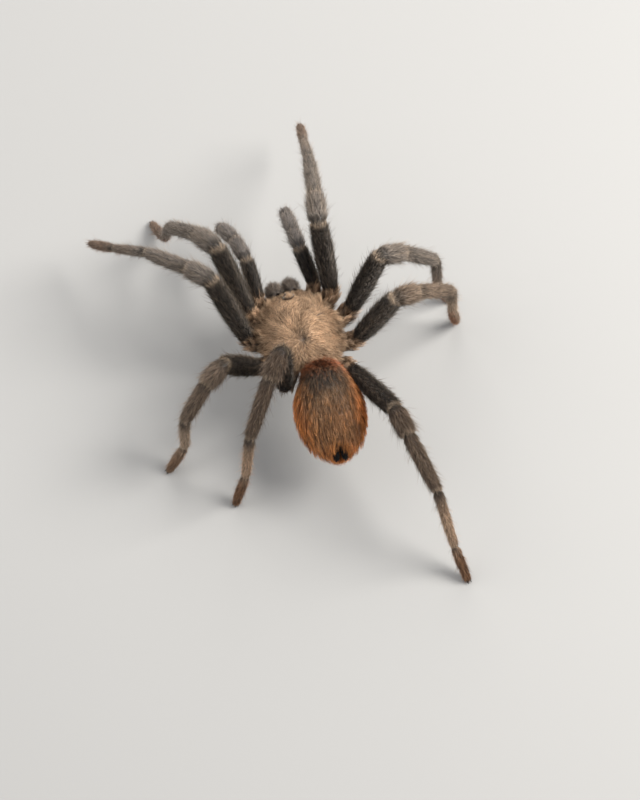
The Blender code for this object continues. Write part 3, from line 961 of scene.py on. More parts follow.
@dataclass(frozen=True)
class LimbPlan:
    """The sizes of one kind of limb, in millimetres, and its colours.

    Attributes:
        coxa, root: where the hip and the femur start on the right side.
        lengths: of each segment from the femur outwards.
        radii: at each joint from the femur's root to the claws.
        swells: how much stouter each segment is half way.
        shin, foot, rust: colour beyond the femur and of the foot, and how rusty its tip is.
    """

    coxa: tuple[float, float, float]
    root: tuple[float, float, float]
    lengths: tuple[float, ...]
    radii: tuple[float, ...] = (1.4, 1.62, 1.5, 1.25, 0.98, 0.86)
    swells: tuple[float, ...] = (0.3, 0.16, 0.12, 0.05, 0.2)
    coxa_radius: float = 1.75
    shin: Colour = (0.3, 0.25, 0.205)
    foot: Colour = (0.34, 0.26, 0.2)
    rust: float = 0.4


PLANS = {
    "1": LimbPlan((3.7, 3.4, 9.9), (8.0, 7.7, 14.8), (15.5, 6.3, 12.8, 10.2, 7.2)),
    "2": LimbPlan((4.0, 1.1, 10.6), (10.0, 2.9, 14.6), (15.3, 5.5, 10.8, 10.1, 7.0)),
    "3": LimbPlan((3.9, -1.6, 11.3), (9.4, -3.0, 14.2), (13.3, 4.8, 9.0, 10.9, 6.5),
                  shin=(0.28, 0.2, 0.14), foot=(0.62, 0.45, 0.31), rust=0.7),
    "4": LimbPlan((3.1, -4.2, 11.6), (6.4, -8.0, 13.8), (16.6, 5.5, 12.0, 13.9, 7.5),
                  shin=(0.18, 0.12, 0.08), foot=(0.66, 0.44, 0.285), rust=1.0),
    "palp": LimbPlan((2.4, 5.6, 11.6), (5.6, 9.9, 14.7), (8.8, 5.4, 7.6, 2.6),
                     (1.2, 1.3, 1.2, 1.15, 0.85), (0.12, 0.08, 0.22, 0.3), 1.4,
                     (0.33, 0.285, 0.25)),
}
POSES = {
    "L1": Pose((-18, -23, -8), (47, -24, -46, -72)),
    "L2": Pose((-28, -37, -38), (52, -10, -23, -39, -36)),
    "L3": Pose((-106, -118, -109), (52, -17, -47, -88)),
    "L4": Pose((-138, -138, -124), (86, -14, -41, -83)),
    "R1": Pose((1, 12, 11), (58, -1, -27, -42, -35)),
    "R2": Pose((68, 84, 100), (61, -26, -50, -86)),
    "R3": Pose((84, 83, 50), (53, -14, -36, -84, -75)),
    "R4": Pose((164, 171.5, 167), (27, -9, -10, -61)),
    "Lpalp": Pose((-2, -7, -8), (33, -14, -40, -62)),
    "Rpalp": Pose((-13, 5, 7), (47, -30, -34, -46)),
}


@dataclass
class Limb:
    """A leg or a feeler: one tube of skin from the hip to the claws.

    Attributes:
        coat_depth: how far the skin lies inside the solids, as a share of their radius.
        bend: half the length of path over which each joint turns.
        stride: spacing of the rings.
        sides: points round a ring.
    """

    kind: str
    side: Side
    coat_depth: float = 0.15
    bend: float = 0.8
    stride: float = 0.28
    sides: int = 28
    joints: Array = field(init=False)
    aims: Array = field(init=False)
    yaws: Array = field(init=False)
    stops: Array = field(init=False)

    @property
    def name(self) -> str:
        """The limb's name as the nodes have it, such as L1 or Lpalp."""
        return self.side.letter + self.kind

    @property
    def plan(self) -> LimbPlan:
        """The sizes of this kind of limb."""
        return PLANS[self.kind]

    def __post_init__(self) -> None:
        """Walks from the hip outwards, joint by joint, as the solids do."""
        plan, pose = self.plan, POSES[self.name]
        sign = self.side.value
        start = place(sign * plan.coxa[0], plan.coxa[1], plan.coxa[2])
        joint = place(sign * plan.root[0] + SWAY, plan.root[1], plan.root[2])
        span = joint - start
        joints, aims = [start, joint], [unit(span)]
        yaws = [math.degrees(math.atan2(-span[0], -span[1]))]
        pitches = list(pose.pitch)
        for segment, length in enumerate(plan.lengths):
            if segment == len(pitches):
                pitches.append(-math.degrees(math.asin((joint[2] - TIP_HEIGHT) / length)))
            aim = heading(np.float64(pose.heading(segment)), np.float64(pitches[segment]))
            joint = joint + aim * length
            joints.append(joint)
            aims.append(aim)
            yaws.append(pose.heading(segment))
        self.joints, self.aims = np.array(joints), np.array(aims)
        self.yaws = np.degrees(np.unwrap(np.radians(yaws)))
        spans = np.linalg.norm(np.diff(self.joints, axis=0), axis=1)
        self.stops = np.concatenate(([0.0], np.cumsum(spans)))

    def segment_at(self, s: Array) -> Array:
        """The number of the segment at each arc length."""
        return np.clip(np.searchsorted(self.stops, s, side="right") - 1, 0, len(self.aims) - 1)

    def centre(self, s: Array) -> tuple[Array, Array, Array]:
        """The rounded path: centre, tangent and level side vector at each arc length.

        The path is the average of the straight limb over a window of 2 x bend, so that each
        corner becomes a parabola and each stretch between stays straight.

        Args:
            s: arc lengths from the hip's root.

        Returns:
            Centre, tangent and side vector at each.
        """
        fine = np.linspace(-4, self.stops[-1] + 4, 6000)
        segment = self.segment_at(fine)
        straight = self.joints[segment] + self.aims[segment] * (fine - self.stops[segment])[:, None]
        values = np.column_stack((straight, self.yaws[segment]))
        sums = np.cumsum(values, axis=0) * (fine[1] - fine[0])

        def read(values: Array, at: Array) -> Array:
            """Columns of values at places along the limb."""
            return np.stack([np.interp(at, fine, column) for column in values.T], -1)

        means = (read(sums, s + self.bend) - read(sums, s - self.bend)) / (2 * self.bend)
        tangent = unit(read(straight, s + self.bend) - read(straight, s - self.bend))
        across = heading(means[:, 3] + 90, 0 * s)
        along = np.sum(across * tangent, axis=-1, keepdims=True)
        return means[:, :3], tangent, unit(across - along * tangent)

    def depth(self, s: Array | float) -> Array:
        """How deep the coat is at each arc length, as a share of the solids' radius.

        It grows past the knee and again past the ankle, where the limb under the hair is thinner.
        """
        knee, ankle = self.stops[3], self.stops[4]
        past = 0.14 * step(s, knee - 1, knee + 2) + 0.1 * step(s, ankle - 4, ankle + 3)
        return self.coat_depth + past * (0.4 if self.kind == "palp" else 1.0)

    def radius(self, s: Array) -> Array:
        """The skin's radius: the solids' radius less the coat, with a waist at each joint.

        Between two joints it runs evenly and adds a swell that is greatest half way. Both ends
        close as quarter ellipses.

        Args:
            s: arc lengths from the hip's root.

        Returns:
            The radius at each, in millimetres.
        """
        plan, segment = self.plan, self.segment_at(s)
        near = np.concatenate(([plan.coxa_radius], plan.radii[:-1]))[segment]
        far = np.concatenate(([plan.radii[0]], plan.radii[1:]))[segment]
        swell = np.concatenate(([0.0], plan.swells))[segment]
        t = np.clip((s - self.stops[segment]) / np.diff(self.stops)[segment], 0, 1)
        full = (near + (far - near) * t + 4 * swell * t * (1 - t)) * (1 - self.depth(s))
        for stop in self.stops[1:-1]:
            full = full * (1 - 0.16 * bump(s, stop, 0.45))
        tip = plan.radii[-1] * (1 - self.depth(self.stops[-1]))
        end = np.clip((self.stops[-1] + tip * 0.8 - s) / (tip * 0.9), 0, 1)
        start = np.clip((s + 0.6) / 0.9, 0, 1)
        closed = np.clip((1 - (1 - end) ** 2) * (1 - (1 - start) ** 2), 1e-4, 1)
        return full * np.sqrt(closed)

    def tint(self, s: Array, turn: Array) -> Array:
        """The coat's colour: tan streaks at the hip, black femur, grey brown beyond, rust foot.

        Pale rings mark the far end of each segment, two pale lines run along the top of the
        patella and tibia, and a dark rust pad lies under the foot.

        Args:
            s: arc length of each grid point.
            turn: its angle, a quarter turn being the top.

        Returns:
            Its linear colour.
        """
        stops, palp = self.stops, self.kind == "palp"
        streak = patchy(s / stops[-1], turn / (2 * np.pi), (30, 9), 70 + ord(self.kind[0]))
        fair = {"1": 0.2, "palp": 0.2, "4": 0.6}.get(self.kind, 0.4)
        hip = mix(np.array(BROWN) * 0.5, TAN, np.clip(2.6 * (streak - fair), 0, 1))
        colour = mix(hip, BLACK, step(s, stops[1] + 0.2, stops[1] + 1.6))
        upward = np.sin(turn)
        # Pale streaks run along the top of the femur only: partly the hair's own streaks, partly a
        # painted sheen where the light falls on top.
        stripe = patchy(s / stops[-1], turn / (2 * np.pi), (6, 26), 90)
        streaks = step(upward, 0.0, 0.8) * step(stripe, 0.25, 0.85)
        femur_streaks_and_sheen = mix(BLACK, np.array(self.plan.shin) * 0.42, streaks)
        colour = mix(colour, femur_streaks_and_sheen, step(s, stops[1] + 1.2, stops[1] + 3))
        shin = np.array(self.plan.shin)
        # Beyond the knee the underside is painted darker: painted shade under the leg.
        grey = mix(shin, shin * 0.4, step(-upward, 0.1, 0.8))
        colour = mix(colour, grey, step(s, stops[2] - 0.4, stops[2] + 0.3))
        lines = bump(upward, 0.82, 0.05) * step(s, stops[2] + 0.8, stops[2] + 1.6)
        lines = lines * (1 - step(s, stops[4] - 1.4, stops[4] - 0.8))
        colour = mix(colour, PALE, 0.45 * lines)
        if not palp:
            colour = mix(colour, self.plan.foot, step(s, stops[4] - 0.2, stops[4] + 5.5))
            colour = mix(colour, RUST, self.plan.rust * step(s, stops[5] - 1.2, stops[5] + 3.0))
            pad = step(-upward, 0.2, 0.7) * step(s, stops[5] - 4, stops[5] - 1)
            colour = mix(colour, EMBER, 0.55 * pad)
        for stop in stops[2:-1]:
            colour = mix(colour, PALE, 0.75 * bump(s, stop - 0.5, 0.4))
            colour = mix(colour, BLACK, 0.7 * bump(s, stop + 0.2, 0.35))
        return colour

    def surface(self) -> Surface:
        """The skin of the whole limb as one grid of rings.

        Returns:
            The grid, from the hip's root to the tip.
        """
        tip = self.plan.radii[-1] * (1 - self.depth(self.stops[-1])) * 0.8
        end = self.stops[-1]
        s = np.linspace(-0.59, end + tip - 0.002, int((end + 1) / self.stride))
        centre, tangent, across = self.centre(s)
        radius = self.radius(s)
        points, turn = rings(centre, radius, across, np.cross(across, tangent), self.sides)
        points[..., 2] = np.maximum(points[..., 2], SKIN_FLOOR)
        grid_s = s[:, None] + 0 * turn
        density = 0.3 * step(grid_s, -0.6, 0.2) + 0.7 * step(grid_s, 0.5, 2.5)
        for stop in self.stops[1:-1]:
            density = density * (1 - 0.45 * bump(grid_s, stop, 0.3))
        pad = step(-np.sin(turn), 0.2, 0.7) * step(grid_s, self.stops[-2] - 3, self.stops[-2])
        length = (0.42 + 0.4 * radius[:, None]) * (1 - 0.35 * pad)
        length = length * (1 + 0.2 * step(grid_s, self.stops[2] - 1, self.stops[2] + 1))
        for stop in self.stops[2:-1]:
            length = length * (1 - 0.4 * bump(grid_s, stop - 0.2, 0.55))
        lift = 6 * bump(grid_s, self.stops[1], 1.2) + 22 * pad
        return Surface(points, self.tint(grid_s, turn + 0 * grid_s), np.broadcast_to(
            tangent[:, None], points.shape), density * (1 + 0.8 * pad), length, lift)

    def arc(self, surface: Surface) -> Array:
        """The arc length at each point of its surface."""
        rows = surface.points.shape[0]
        return np.linspace(0, self.stops[-1], rows)[:, None] + 0 * surface.density

    def claws(self) -> list[Surface]:
        """The two small hooked claws at its tip.

        Returns:
            One hook for each side.
        """
        end = np.array([self.stops[-1]])
        centre, tangent, across = (values[0] for values in self.centre(end))
        aim = unit(tangent * np.array((1, 1, 0)))
        made = []
        for sign in (-1, 1):
            start = centre + tangent * 0.5 + across * 0.22 * sign
            start[2] = max(start[2], TIP_HEIGHT + 0.1)
            way = unit(aim + across * 0.25 * sign)
            down = np.array((0.0, 0.0, -1.0))
            made.append(hook(start, way, down, 0.85, 65, 0.12, np.array(BLACK) * 0.5))
        return made

    def spur(self) -> list[Surface]:
        """The forked hook under the far end of a male's front tibia.

        Returns:
            A long hook and a short one.
        """
        s = np.array([self.stops[4] - 1.6])
        centre, tangent, across = (values[0] for values in self.centre(s))
        down = -np.cross(across, tangent)
        inward = -across * self.side.value
        start = centre + 0.95 * unit(down + 0.7 * inward)
        long = hook(start, unit(tangent + 0.7 * down), inward - tangent, 1.5, 45, 0.24, CHESTNUT)
        short = hook(start - 0.2 * inward, unit(tangent + 0.9 * down + 0.4 * inward), -tangent,
                     1.0, 40, 0.2, CHESTNUT)
        return [long, short]

    def bulb(self) -> list[Surface]:
        """The pear-shaped bulb with its thin curved end, under the tip of a male's feeler.

        Returns:
            The pear and its end.
        """
        s = np.array([self.stops[-1] - 0.2])
        centre, tangent, across = (values[0] for values in self.centre(s))
        down = -np.cross(across, tangent)
        t = np.linspace(0.02, 0.98, 20)
        path = centre + 0.35 * down + (t[:, None] * 1.1) * unit(down - 0.5 * tangent)
        body = tube(path, 0.46 * np.sqrt(t * (1 - t)) * (1.3 - 0.5 * t) * 2, across, CHESTNUT)
        return [body, hook(path[-3], unit(down - 0.2 * tangent), -tangent, 1.1, 70, 0.13, CHESTNUT)]


LEG_DOWN = HairKind(length=1.15, width=0.095, lift=21, droop=0, stray=9, lock=0.6, clump=0.35,
                    tip_share=0.12)
LEG_COAT = HairKind(length=1.85, width=0.055, lift=35, droop=12, stray=16, bends=1, lock=0.8,
                    clump=0.3, tip_share=0.4, uneven=0.4)
LEG_BRISTLES = HairKind(length=2.3, width=0.055, lift=50, droop=12, stray=14, bends=2, clump=0.05,
                        tip=SAND, tip_share=0.4, uneven=0.4)
HIP_FRINGE = HairKind(length=2.8, width=0.085, lift=30, droop=14, stray=22, bends=1, lock=1.0,
                      clump=0.75, tip=TAN, tip_share=0.5, uneven=0.3)


@dataclass
class Limbs:
    """The eight legs and two feelers, their coats and their horny ends."""

    body: Body
    dress: Wardrobe
    down: int = 14500
    coat: int = 3400
    bristles: int = 430
    fringe: int = 700
    palp_share: float = 0.42

    def dress_limb(self, limb: Limb, surface: Surface) -> None:
        """One limb's hair: dense down, a longer coat, sparse bristles and a fringe at the hip.

        Args:
            limb: the leg or feeler.
            surface: its skin.
        """
        rng = np.random.default_rng(100 + 10 * limb.side.value + ord(limb.kind[0]))
        s, stops = limb.arc(surface), limb.stops
        palp = limb.kind == "palp"
        share = self.palp_share if palp else 1.0
        beyond = step(s, stops[1] + 1, stops[1] + 3)
        beyond = beyond * step(surface.points[..., 2], 0.8, 2.5)
        hip = bump(s, stops[1] - 1.2, 1.5) * (0.25 + step(surface.normal[..., 2], -0.2, 0.7))
        fringe = self.fringe // 2 if limb.kind == "4" else self.fringe
        parts = [
            grow(surface, LEG_DOWN, int(self.down * share), rng),
            grow(surface, LEG_COAT, int(self.coat * share), rng, beyond),
            grow(surface, LEG_BRISTLES, int(self.bristles * share), rng, beyond),
            grow(surface, HIP_FRINGE, int(fringe * share), rng, hip),
        ]
        name = ("coat_palp_" if palp else "coat_leg_") + limb.name[:1 if palp else 2]
        self.body.fur(name, parts, self.dress.leg_hair, Slot.LEG)

    def build(self) -> list[Surface]:
        """Coats, claws, spurs and bulbs.

        Returns:
            The skin of every limb, which joins the rest of the animal's.
        """
        limbs = [Limb(kind, side) for side in Side for kind in (*"1234", "palp")]
        surfaces = [limb.surface() for limb in limbs]
        for limb, surface in zip(limbs, surfaces):
            self.dress_limb(limb, surface)
        legs = [limb for limb in limbs if limb.kind != "palp"]
        horn = {
            "claws": [claw for leg in legs for claw in leg.claws()],
            "tibial_spurs": [part for leg in legs if leg.kind == "1" for part in leg.spur()],
            "palpal_bulbs": [part for limb in limbs if limb.kind == "palp" for part in limb.bulb()],
        }
        for name, parts in horn.items():
            self.body.finish(self.body.skin(name, parts), self.dress.horn, Slot.FANG)
        return surfaces


# ------------------------------------------------------------------ head


def carapace_outline(angle: Array) -> Array:
    """Distance from the middle to the rim: an ellipse with squarer powers, longer in front.

    Args:
        angle: from straight ahead.

    Returns:
        The distance, in millimetres.
    """
    c, s = np.cos(angle), np.sin(angle)
    reach = np.where(c > 0, CARAPACE_FRONT, CARAPACE_REAR)
    power = np.where(c > 0, 2.5, 2.2)
    total = (np.abs(c) / reach) ** power + (np.abs(s) / CARAPACE_HALF_WIDTH) ** power
    return total ** (-1 / power)


def carapace_height(lateral: Array, forward: Array, rho: Array) -> Array:
    """Height over the rim: a dome, a raised head part, and a dimple with shallow grooves.

    The grooves run out from the dimple like spokes and fade towards the rim.

    Args:
        lateral, forward: place from the shield's middle.
        rho: share of the way out to the rim.

    Returns:
        Height in millimetres.
    """
    ahead = 1 / (1 + np.exp(-(forward - 1.5) / 1.2))
    height = 3.2 * (1 - rho ** (3 + 2.5 * ahead)) ** 0.6 + 0.35 * (1 - rho ** 8)
    height = height + ahead * np.exp(-(lateral / 4.3) ** 4) * (1 - rho ** 6)
    off = np.hypot(lateral, forward - DIMPLE_FORWARD)
    spoke = np.arctan2(np.abs(lateral), forward - DIMPLE_FORWARD)
    grooves = sum(bump(spoke, angle, 0.11) for angle in (0.62, 1.25, 1.85, 2.5))
    return (height - 0.45 * np.exp(-off ** 2 / 0.8)
            - 0.15 * grooves * step(off, 0.6, 1.6) * (1 - step(rho, 0.6, 0.95)))


CARAPACE_DOWN = HairKind(length=1.05, width=0.095, lift=14, droop=0, stray=16, lock=1.0, clump=0.45,
                         tip=GOLD, tip_share=0.4)
CARAPACE_COAT = HairKind(length=2.1, width=0.07, lift=24, droop=10, stray=20, bends=1, lock=2.2,
                         clump=0.35, tip=GOLD, tip_share=0.5, uneven=0.4)
CARAPACE_FRINGE = HairKind(length=2.2, width=0.075, lift=46, droop=14, stray=28, bends=1, lock=1.3,
                           clump=0.65, tip=GOLD, tip_share=0.5, uneven=0.45)


@dataclass
class Carapace:
    """The shield over the head part, with its swept tan hair."""

    body: Body
    dress: Wardrobe
    inset: float = 0.4
    rings: int = 50
    sides: int = 112
    down: int = 21000
    coat: int = 6000
    fringe: int = 3600

    def surface(self) -> Surface:
        """A grid that runs from the dimple's side over the rim and back under the shell.

        Returns:
            The grid, whose rows run outwards.
        """
        top = np.linspace(0.02, 1, self.rings)
        under = np.linspace(0.98, 0.05, 10)
        rho = np.concatenate((top, under))[:, None]
        angle = 2 * np.pi * np.arange(self.sides)[None] / self.sides
        rim = carapace_outline(angle)
        forward = rim * rho * np.cos(angle)
        lateral = rim * rho * np.sin(angle)
        lateral = lateral * (1 - 0.14 * (np.maximum(forward, 0) / CARAPACE_FRONT) ** 2)
        height = carapace_height(lateral, forward, rho)
        above = (np.arange(len(rho)) < self.rings)[:, None]
        shrink = 1 - self.inset / rim * rho ** 2
        z = CARAPACE_RIM_Z + np.where(above, height - self.inset * (1 - rho ** 6), 0.0)
        points = place(lateral * shrink, forward * shrink, z)
        east, north = (lateral + 9) / 18, (forward + 9) / 19
        sweep = np.radians(115 * (patchy(north, east, (4, 4), 33) - 0.5))
        off = np.hypot(lateral, forward - DIMPLE_FORWARD)
        out = place(lateral, forward - DIMPLE_FORWARD, 0 * z) / np.sqrt(off * off + 1.5)[..., None]
        out = out + place(0 * z, -0.45 * np.abs(lateral) / 7.6, 0 * z)
        lie = np.stack((
            out[..., 0] * np.cos(sweep) - out[..., 1] * np.sin(sweep),
            out[..., 0] * np.sin(sweep) + out[..., 1] * np.cos(sweep), 0 * z), -1)
        blotch = patchy(north, east, (9, 8), 32)
        streak = patchy(north, east, (26, 30), 34)
        share = np.clip(2.0 * (blotch - 0.5) + 0.9 * (streak - 0.5), 0, 0.8)
        tint = mix(TAN, BROWN, share)
        off = np.hypot(lateral - 0.4, (forward - DIMPLE_FORWARD) * 0.8)
        tint = mix(tint, CHARCOAL, 0.6 * np.exp(-off ** 2 / 0.5))
        # The left front and left rear are painted browner: painted shade on the side away from the
        # key light. The rear is also browner on both sides.
        rear_left = bump(forward, -6.2, 2.4) * step(-lateral, 0.5, 4)
        front_left = bump(forward, 5.5, 3.0) * step(-lateral, 2.5, 6)
        left_shade_and_rear_brown = 0.6 * rear_left + 0.3 * step(-forward, 4.5, 6.5) + 0.55 * front_left
        tint = mix(tint, BROWN, np.clip(left_shade_and_rear_brown, 0, 1))
        spoke = np.abs(angle - np.pi)
        hips = sum(bump(spoke, np.pi - turn, 0.13) for turn in (0.5, 0.8, 1.29, 1.88, 2.46))
        edge = step(rho, 0.7, 0.95)
        # The rim between the hips is painted dark brown in patches: painted shade in the gaps
        # between the legs.
        between = step(rho, 0.8, 0.98) * (1 - 0.7 * hips) * np.clip(0.35 + 1.1 * streak, 0, 1)
        tint = mix(tint, np.array(BROWN) * 0.5, 0.75 * between * step(spoke, 0.35, 0.75))
        length = (0.85 + edge * 0.5 * hips) * (1 - 0.3 * step(forward, 2.5, 6.5))
        return Surface(points, tint, lie, np.where(above, 1.0, 0.02), length, 14 * edge)

    def build(self) -> None:
        """The shell and its coat."""
        surface = self.surface()
        obj = self.body.skin("carapace_shell", [surface])
        self.body.finish(obj, self.dress.shell, Slot.CARAPACE, ("carapace",))
        rng = np.random.default_rng(31)
        rows = np.arange(surface.points.shape[0])[:, None]
        rim = bump(rows, self.rings - 3, 4.0) + 0 * surface.density
        parts = [
            grow(surface, CARAPACE_DOWN, self.down, rng),
            grow(surface, CARAPACE_COAT, self.coat, rng),
            grow(surface, CARAPACE_FRINGE, self.fringe, rng, rim),
        ]
        self.body.fur("coat_carapace", parts, self.dress.tan_hair, Slot.CARAPACE)


MOUND_HAIR = HairKind(length=0.7, width=0.05, lift=24, droop=8, stray=16, bends=1, clump=0.2,
                      tip=GOLD, tip_share=0.4)


@dataclass
class Eyes:
    """The turret near the front edge, with eight lenses in two rows.

    Attributes:
        forward: how far ahead of the body's origin it stands.
        half: its half width, half length and height.
        lenses: for each pair, how far out, ahead and up it sits, its radius, how much longer
            than wide it is, and whether it is dark.
        hairs: how many short hairs stand between them.
    """

    body: Body
    dress: Wardrobe
    forward: float = 7.5
    half: tuple[float, float, float] = (1.18, 0.9, 0.55)
    lenses: tuple[tuple[float, float, float, float, float, bool], ...] = (
        (0.38, 0.36, 0.46, 0.28, 1.0, True),
        (0.96, 0.5, 0.16, 0.22, 1.35, False),
        (1.0, -0.26, 0.16, 0.21, 1.4, False),
        (0.62, -0.42, 0.32, 0.17, 1.3, False),
    )
    hairs: int = 600

    def turn(self) -> Turn:
        """Where the mound sits: on the carapace's middle line, tipped to its slope."""
        reach = self.half[1]
        ends = np.array((self.forward + reach, self.forward - reach))
        here = carapace_height(0.0, self.forward, self.forward / CARAPACE_FRONT)
        heights = carapace_height(0 * ends, ends, ends / CARAPACE_FRONT)
        slope = math.degrees(math.atan2(heights[1] - heights[0], 2 * reach))
        return Turn((0.0, self.forward, CARAPACE_RIM_Z + here - 0.05), 0.0, slope)

    def build(self) -> None:
        """Mound, lenses and the short hairs round them."""
        turn = self.turn()
        x, y, z = polar(30, 40)
        own = np.stack((self.half[0] * x, self.half[1] * y, self.half[2] * np.maximum(z, -0.4)), -1)
        ahead = place(0 * x, 1 + 0 * x, 0 * x)
        mound = Surface(turn.apply(own), np.array(TAN) * 0.7, ahead, step(z, -0.2, 0.3))
        finish, skin = self.body.finish, self.body.skin
        finish(skin("eye_turret", [mound]), self.dress.shell, Slot.EYES, ("eye_mound",))
        x, y, z = polar(20, 24)
        groups: dict[bool, list[Surface]] = {True: [], False: []}
        for out, ahead, up, radius, stretch, dark in self.lenses:
            for side in Side:
                lens = np.stack((radius * x, radius * stretch * y, radius * 0.85 * z), -1)
                spot = np.array((-side.value * out, -ahead, up))
                tint = np.array((0.006, 0.005, 0.006)) if dark else np.array((0.17, 0.14, 0.1))
                groups[dark].append(Surface(turn.apply(lens + spot), tint))
        finish(skin("middle_eyes", groups[True]), self.dress.dark_eye, Slot.EYES)
        finish(skin("side_eyes", groups[False]), self.dress.pearl_eye, Slot.EYES)
        rng = np.random.default_rng(81)
        bare = sum(np.exp(-((np.abs(own[..., 0]) - out) ** 2 + (own[..., 1] + ahead) ** 2) / 0.1)
                   for out, ahead, *_ in self.lenses)
        hair = grow(mound, MOUND_HAIR, self.hairs, rng, np.clip(1 - 1.3 * bare, 0, 1) + 1e-4)
        self.body.fur("coat_eye_turret", [hair], self.dress.tan_hair, Slot.EYES)


FACE_DOWN = HairKind(length=0.8, width=0.065, lift=20, droop=0, stray=10, lock=0.5, clump=0.35)
FACE_COAT = HairKind(length=1.7, width=0.055, lift=44, droop=14, stray=22, bends=1, lock=0.7,
                     clump=0.2, tip=PALE, tip_share=0.45, uneven=0.4)
FANG_FRINGE = HairKind(length=1.3, width=0.06, lift=40, droop=10, stray=12, bends=1, clump=0.3,
                       tip=ORANGE, tip_share=0.9)
BELLY_DOWN = HairKind(length=0.8, width=0.075, lift=18, droop=0, stray=14)


@dataclass
class Jaws:
    """The two chelicerae, furry in front, and the fangs folded under them.

    Attributes:
        at, half, slope: place of a jaw's middle, half its size and its slope.
        depth: how far the skin lies inside the solids.
        power: over 2 makes the section squarer than an ellipse.
        fang_centre, fang_bend: middle of the arc that a fang follows, and its radius.
        fang_turn: where on the arc it starts, and how many degrees it follows it.
        down, coat, fringe: how many hairs of each kind a jaw has.
    """

    body: Body
    dress: Wardrobe
    at: tuple[float, float, float] = (1.6, 10.7, 13.9)
    half: tuple[float, float, float] = (1.5, 4.4, 2.4)
    depth: float = 0.4
    power: float = 2.8
    slope: float = -50.0
    fang_centre: tuple[float, float, float] = (1.65, 11.55, 10.15)
    fang_bend: float = 1.95
    fang_turn: tuple[float, float] = (-25.0, -115.0)
    down: int = 6000
    coat: int = 2200
    fringe: int = 350

    def jaw(self, side: Side) -> Surface:
        """A squared bean, fullest near its root, that runs down to the fang.

        Args:
            side: which of the two.

        Returns:
            The skin, whose rows run from the root down.
        """
        x, y, z = polar(60, 44)
        wide, long, high = (size - self.depth for size in self.half)
        across = (np.abs(x) ** self.power + np.abs(z) ** self.power) ** (1 / self.power)
        fuller = (1 - 0.1 * y) * np.hypot(x, z) / np.maximum(across, 1e-6)
        own = np.stack((wide * x * fuller, long * y, high * z * fuller), -1)
        sign = side.value
        points = Turn((sign * self.at[0], self.at[1], self.at[2]), 180.0, self.slope).apply(own)
        points = press(points, place(sign * 0.2, 0.0, 0.0), np.array((sign, 0.0, 0.0)))
        points = press(points, place(0.0, CARAPACE_FRONT + 0.1, 0.0), np.array((0.0, 1.0, 0.0)))
        u, v = grid_uv(60, 44)
        streak = patchy(0.2 * u, v, (2, 16), 51)
        tint = mix(np.array(TAUPE) * 1.1, CHARCOAL, np.clip(1.8 * (streak - 0.5), 0, 1))
        tint = mix(tint, CHESTNUT, 0.7 * step(y, 0.8, 0.98))
        return Surface(points, tint)

    def fang(self, side: Side) -> Surface:
        """A curved spike along a quarter turn, red brown at its root and black beyond.

        Args:
            side: which of the two.

        Returns:
            The spike.
        """
        t = np.linspace(0, 1, 36)
        angle = np.radians(self.fang_turn[0] + self.fang_turn[1] * t)
        out, ahead, high = self.fang_centre
        sign = side.value
        path = place(sign * (out - 0.3 * t), ahead + self.fang_bend * np.cos(angle),
                     high + self.fang_bend * np.sin(angle))
        radius = 0.54 * (1 - 0.75 * t) * np.sqrt(np.clip((1.002 - t) * 9, 0, 1))
        tint = mix((0.07, 0.022, 0.01), (0.006, 0.005, 0.005), step(t, 0.02, 0.3))[:, None]
        return tube(path, radius, np.array((1.0, 0.0, 0.0)), np.broadcast_to(tint, (36, 18, 3)))

    def build(self) -> list[Surface]:
        """Coats and fangs. The skins join the rest of the animal's.

        Returns:
            The skin of each jaw.
        """
        jaws = []
        for side in Side:
            jaw = self.jaw(side)
            rng = np.random.default_rng(51 + side.value)
            low = step(jaw.points[..., 2], 13.2, 10.8) * step(jaw.normal[..., 2], 0.4, -0.3)
            parts = [
                grow(jaw, FACE_DOWN, self.down, rng),
                grow(jaw, FACE_COAT, self.coat, rng),
                grow(jaw, FANG_FRINGE, self.fringe, rng, low + 1e-4),
            ]
            name = f"coat_chelicera_{side.letter}"
            self.body.fur(name, parts, self.dress.leg_hair, Slot.CHELICERA)
            spike = self.body.skin(f"fang_spike_{side.letter}", [self.fang(side)])
            self.body.finish(spike, self.dress.horn, Slot.FANG, (f"fang_{side.letter}",))
            jaws.append(jaw)
        return jaws


# ------------------------------------------------------------------ trunk


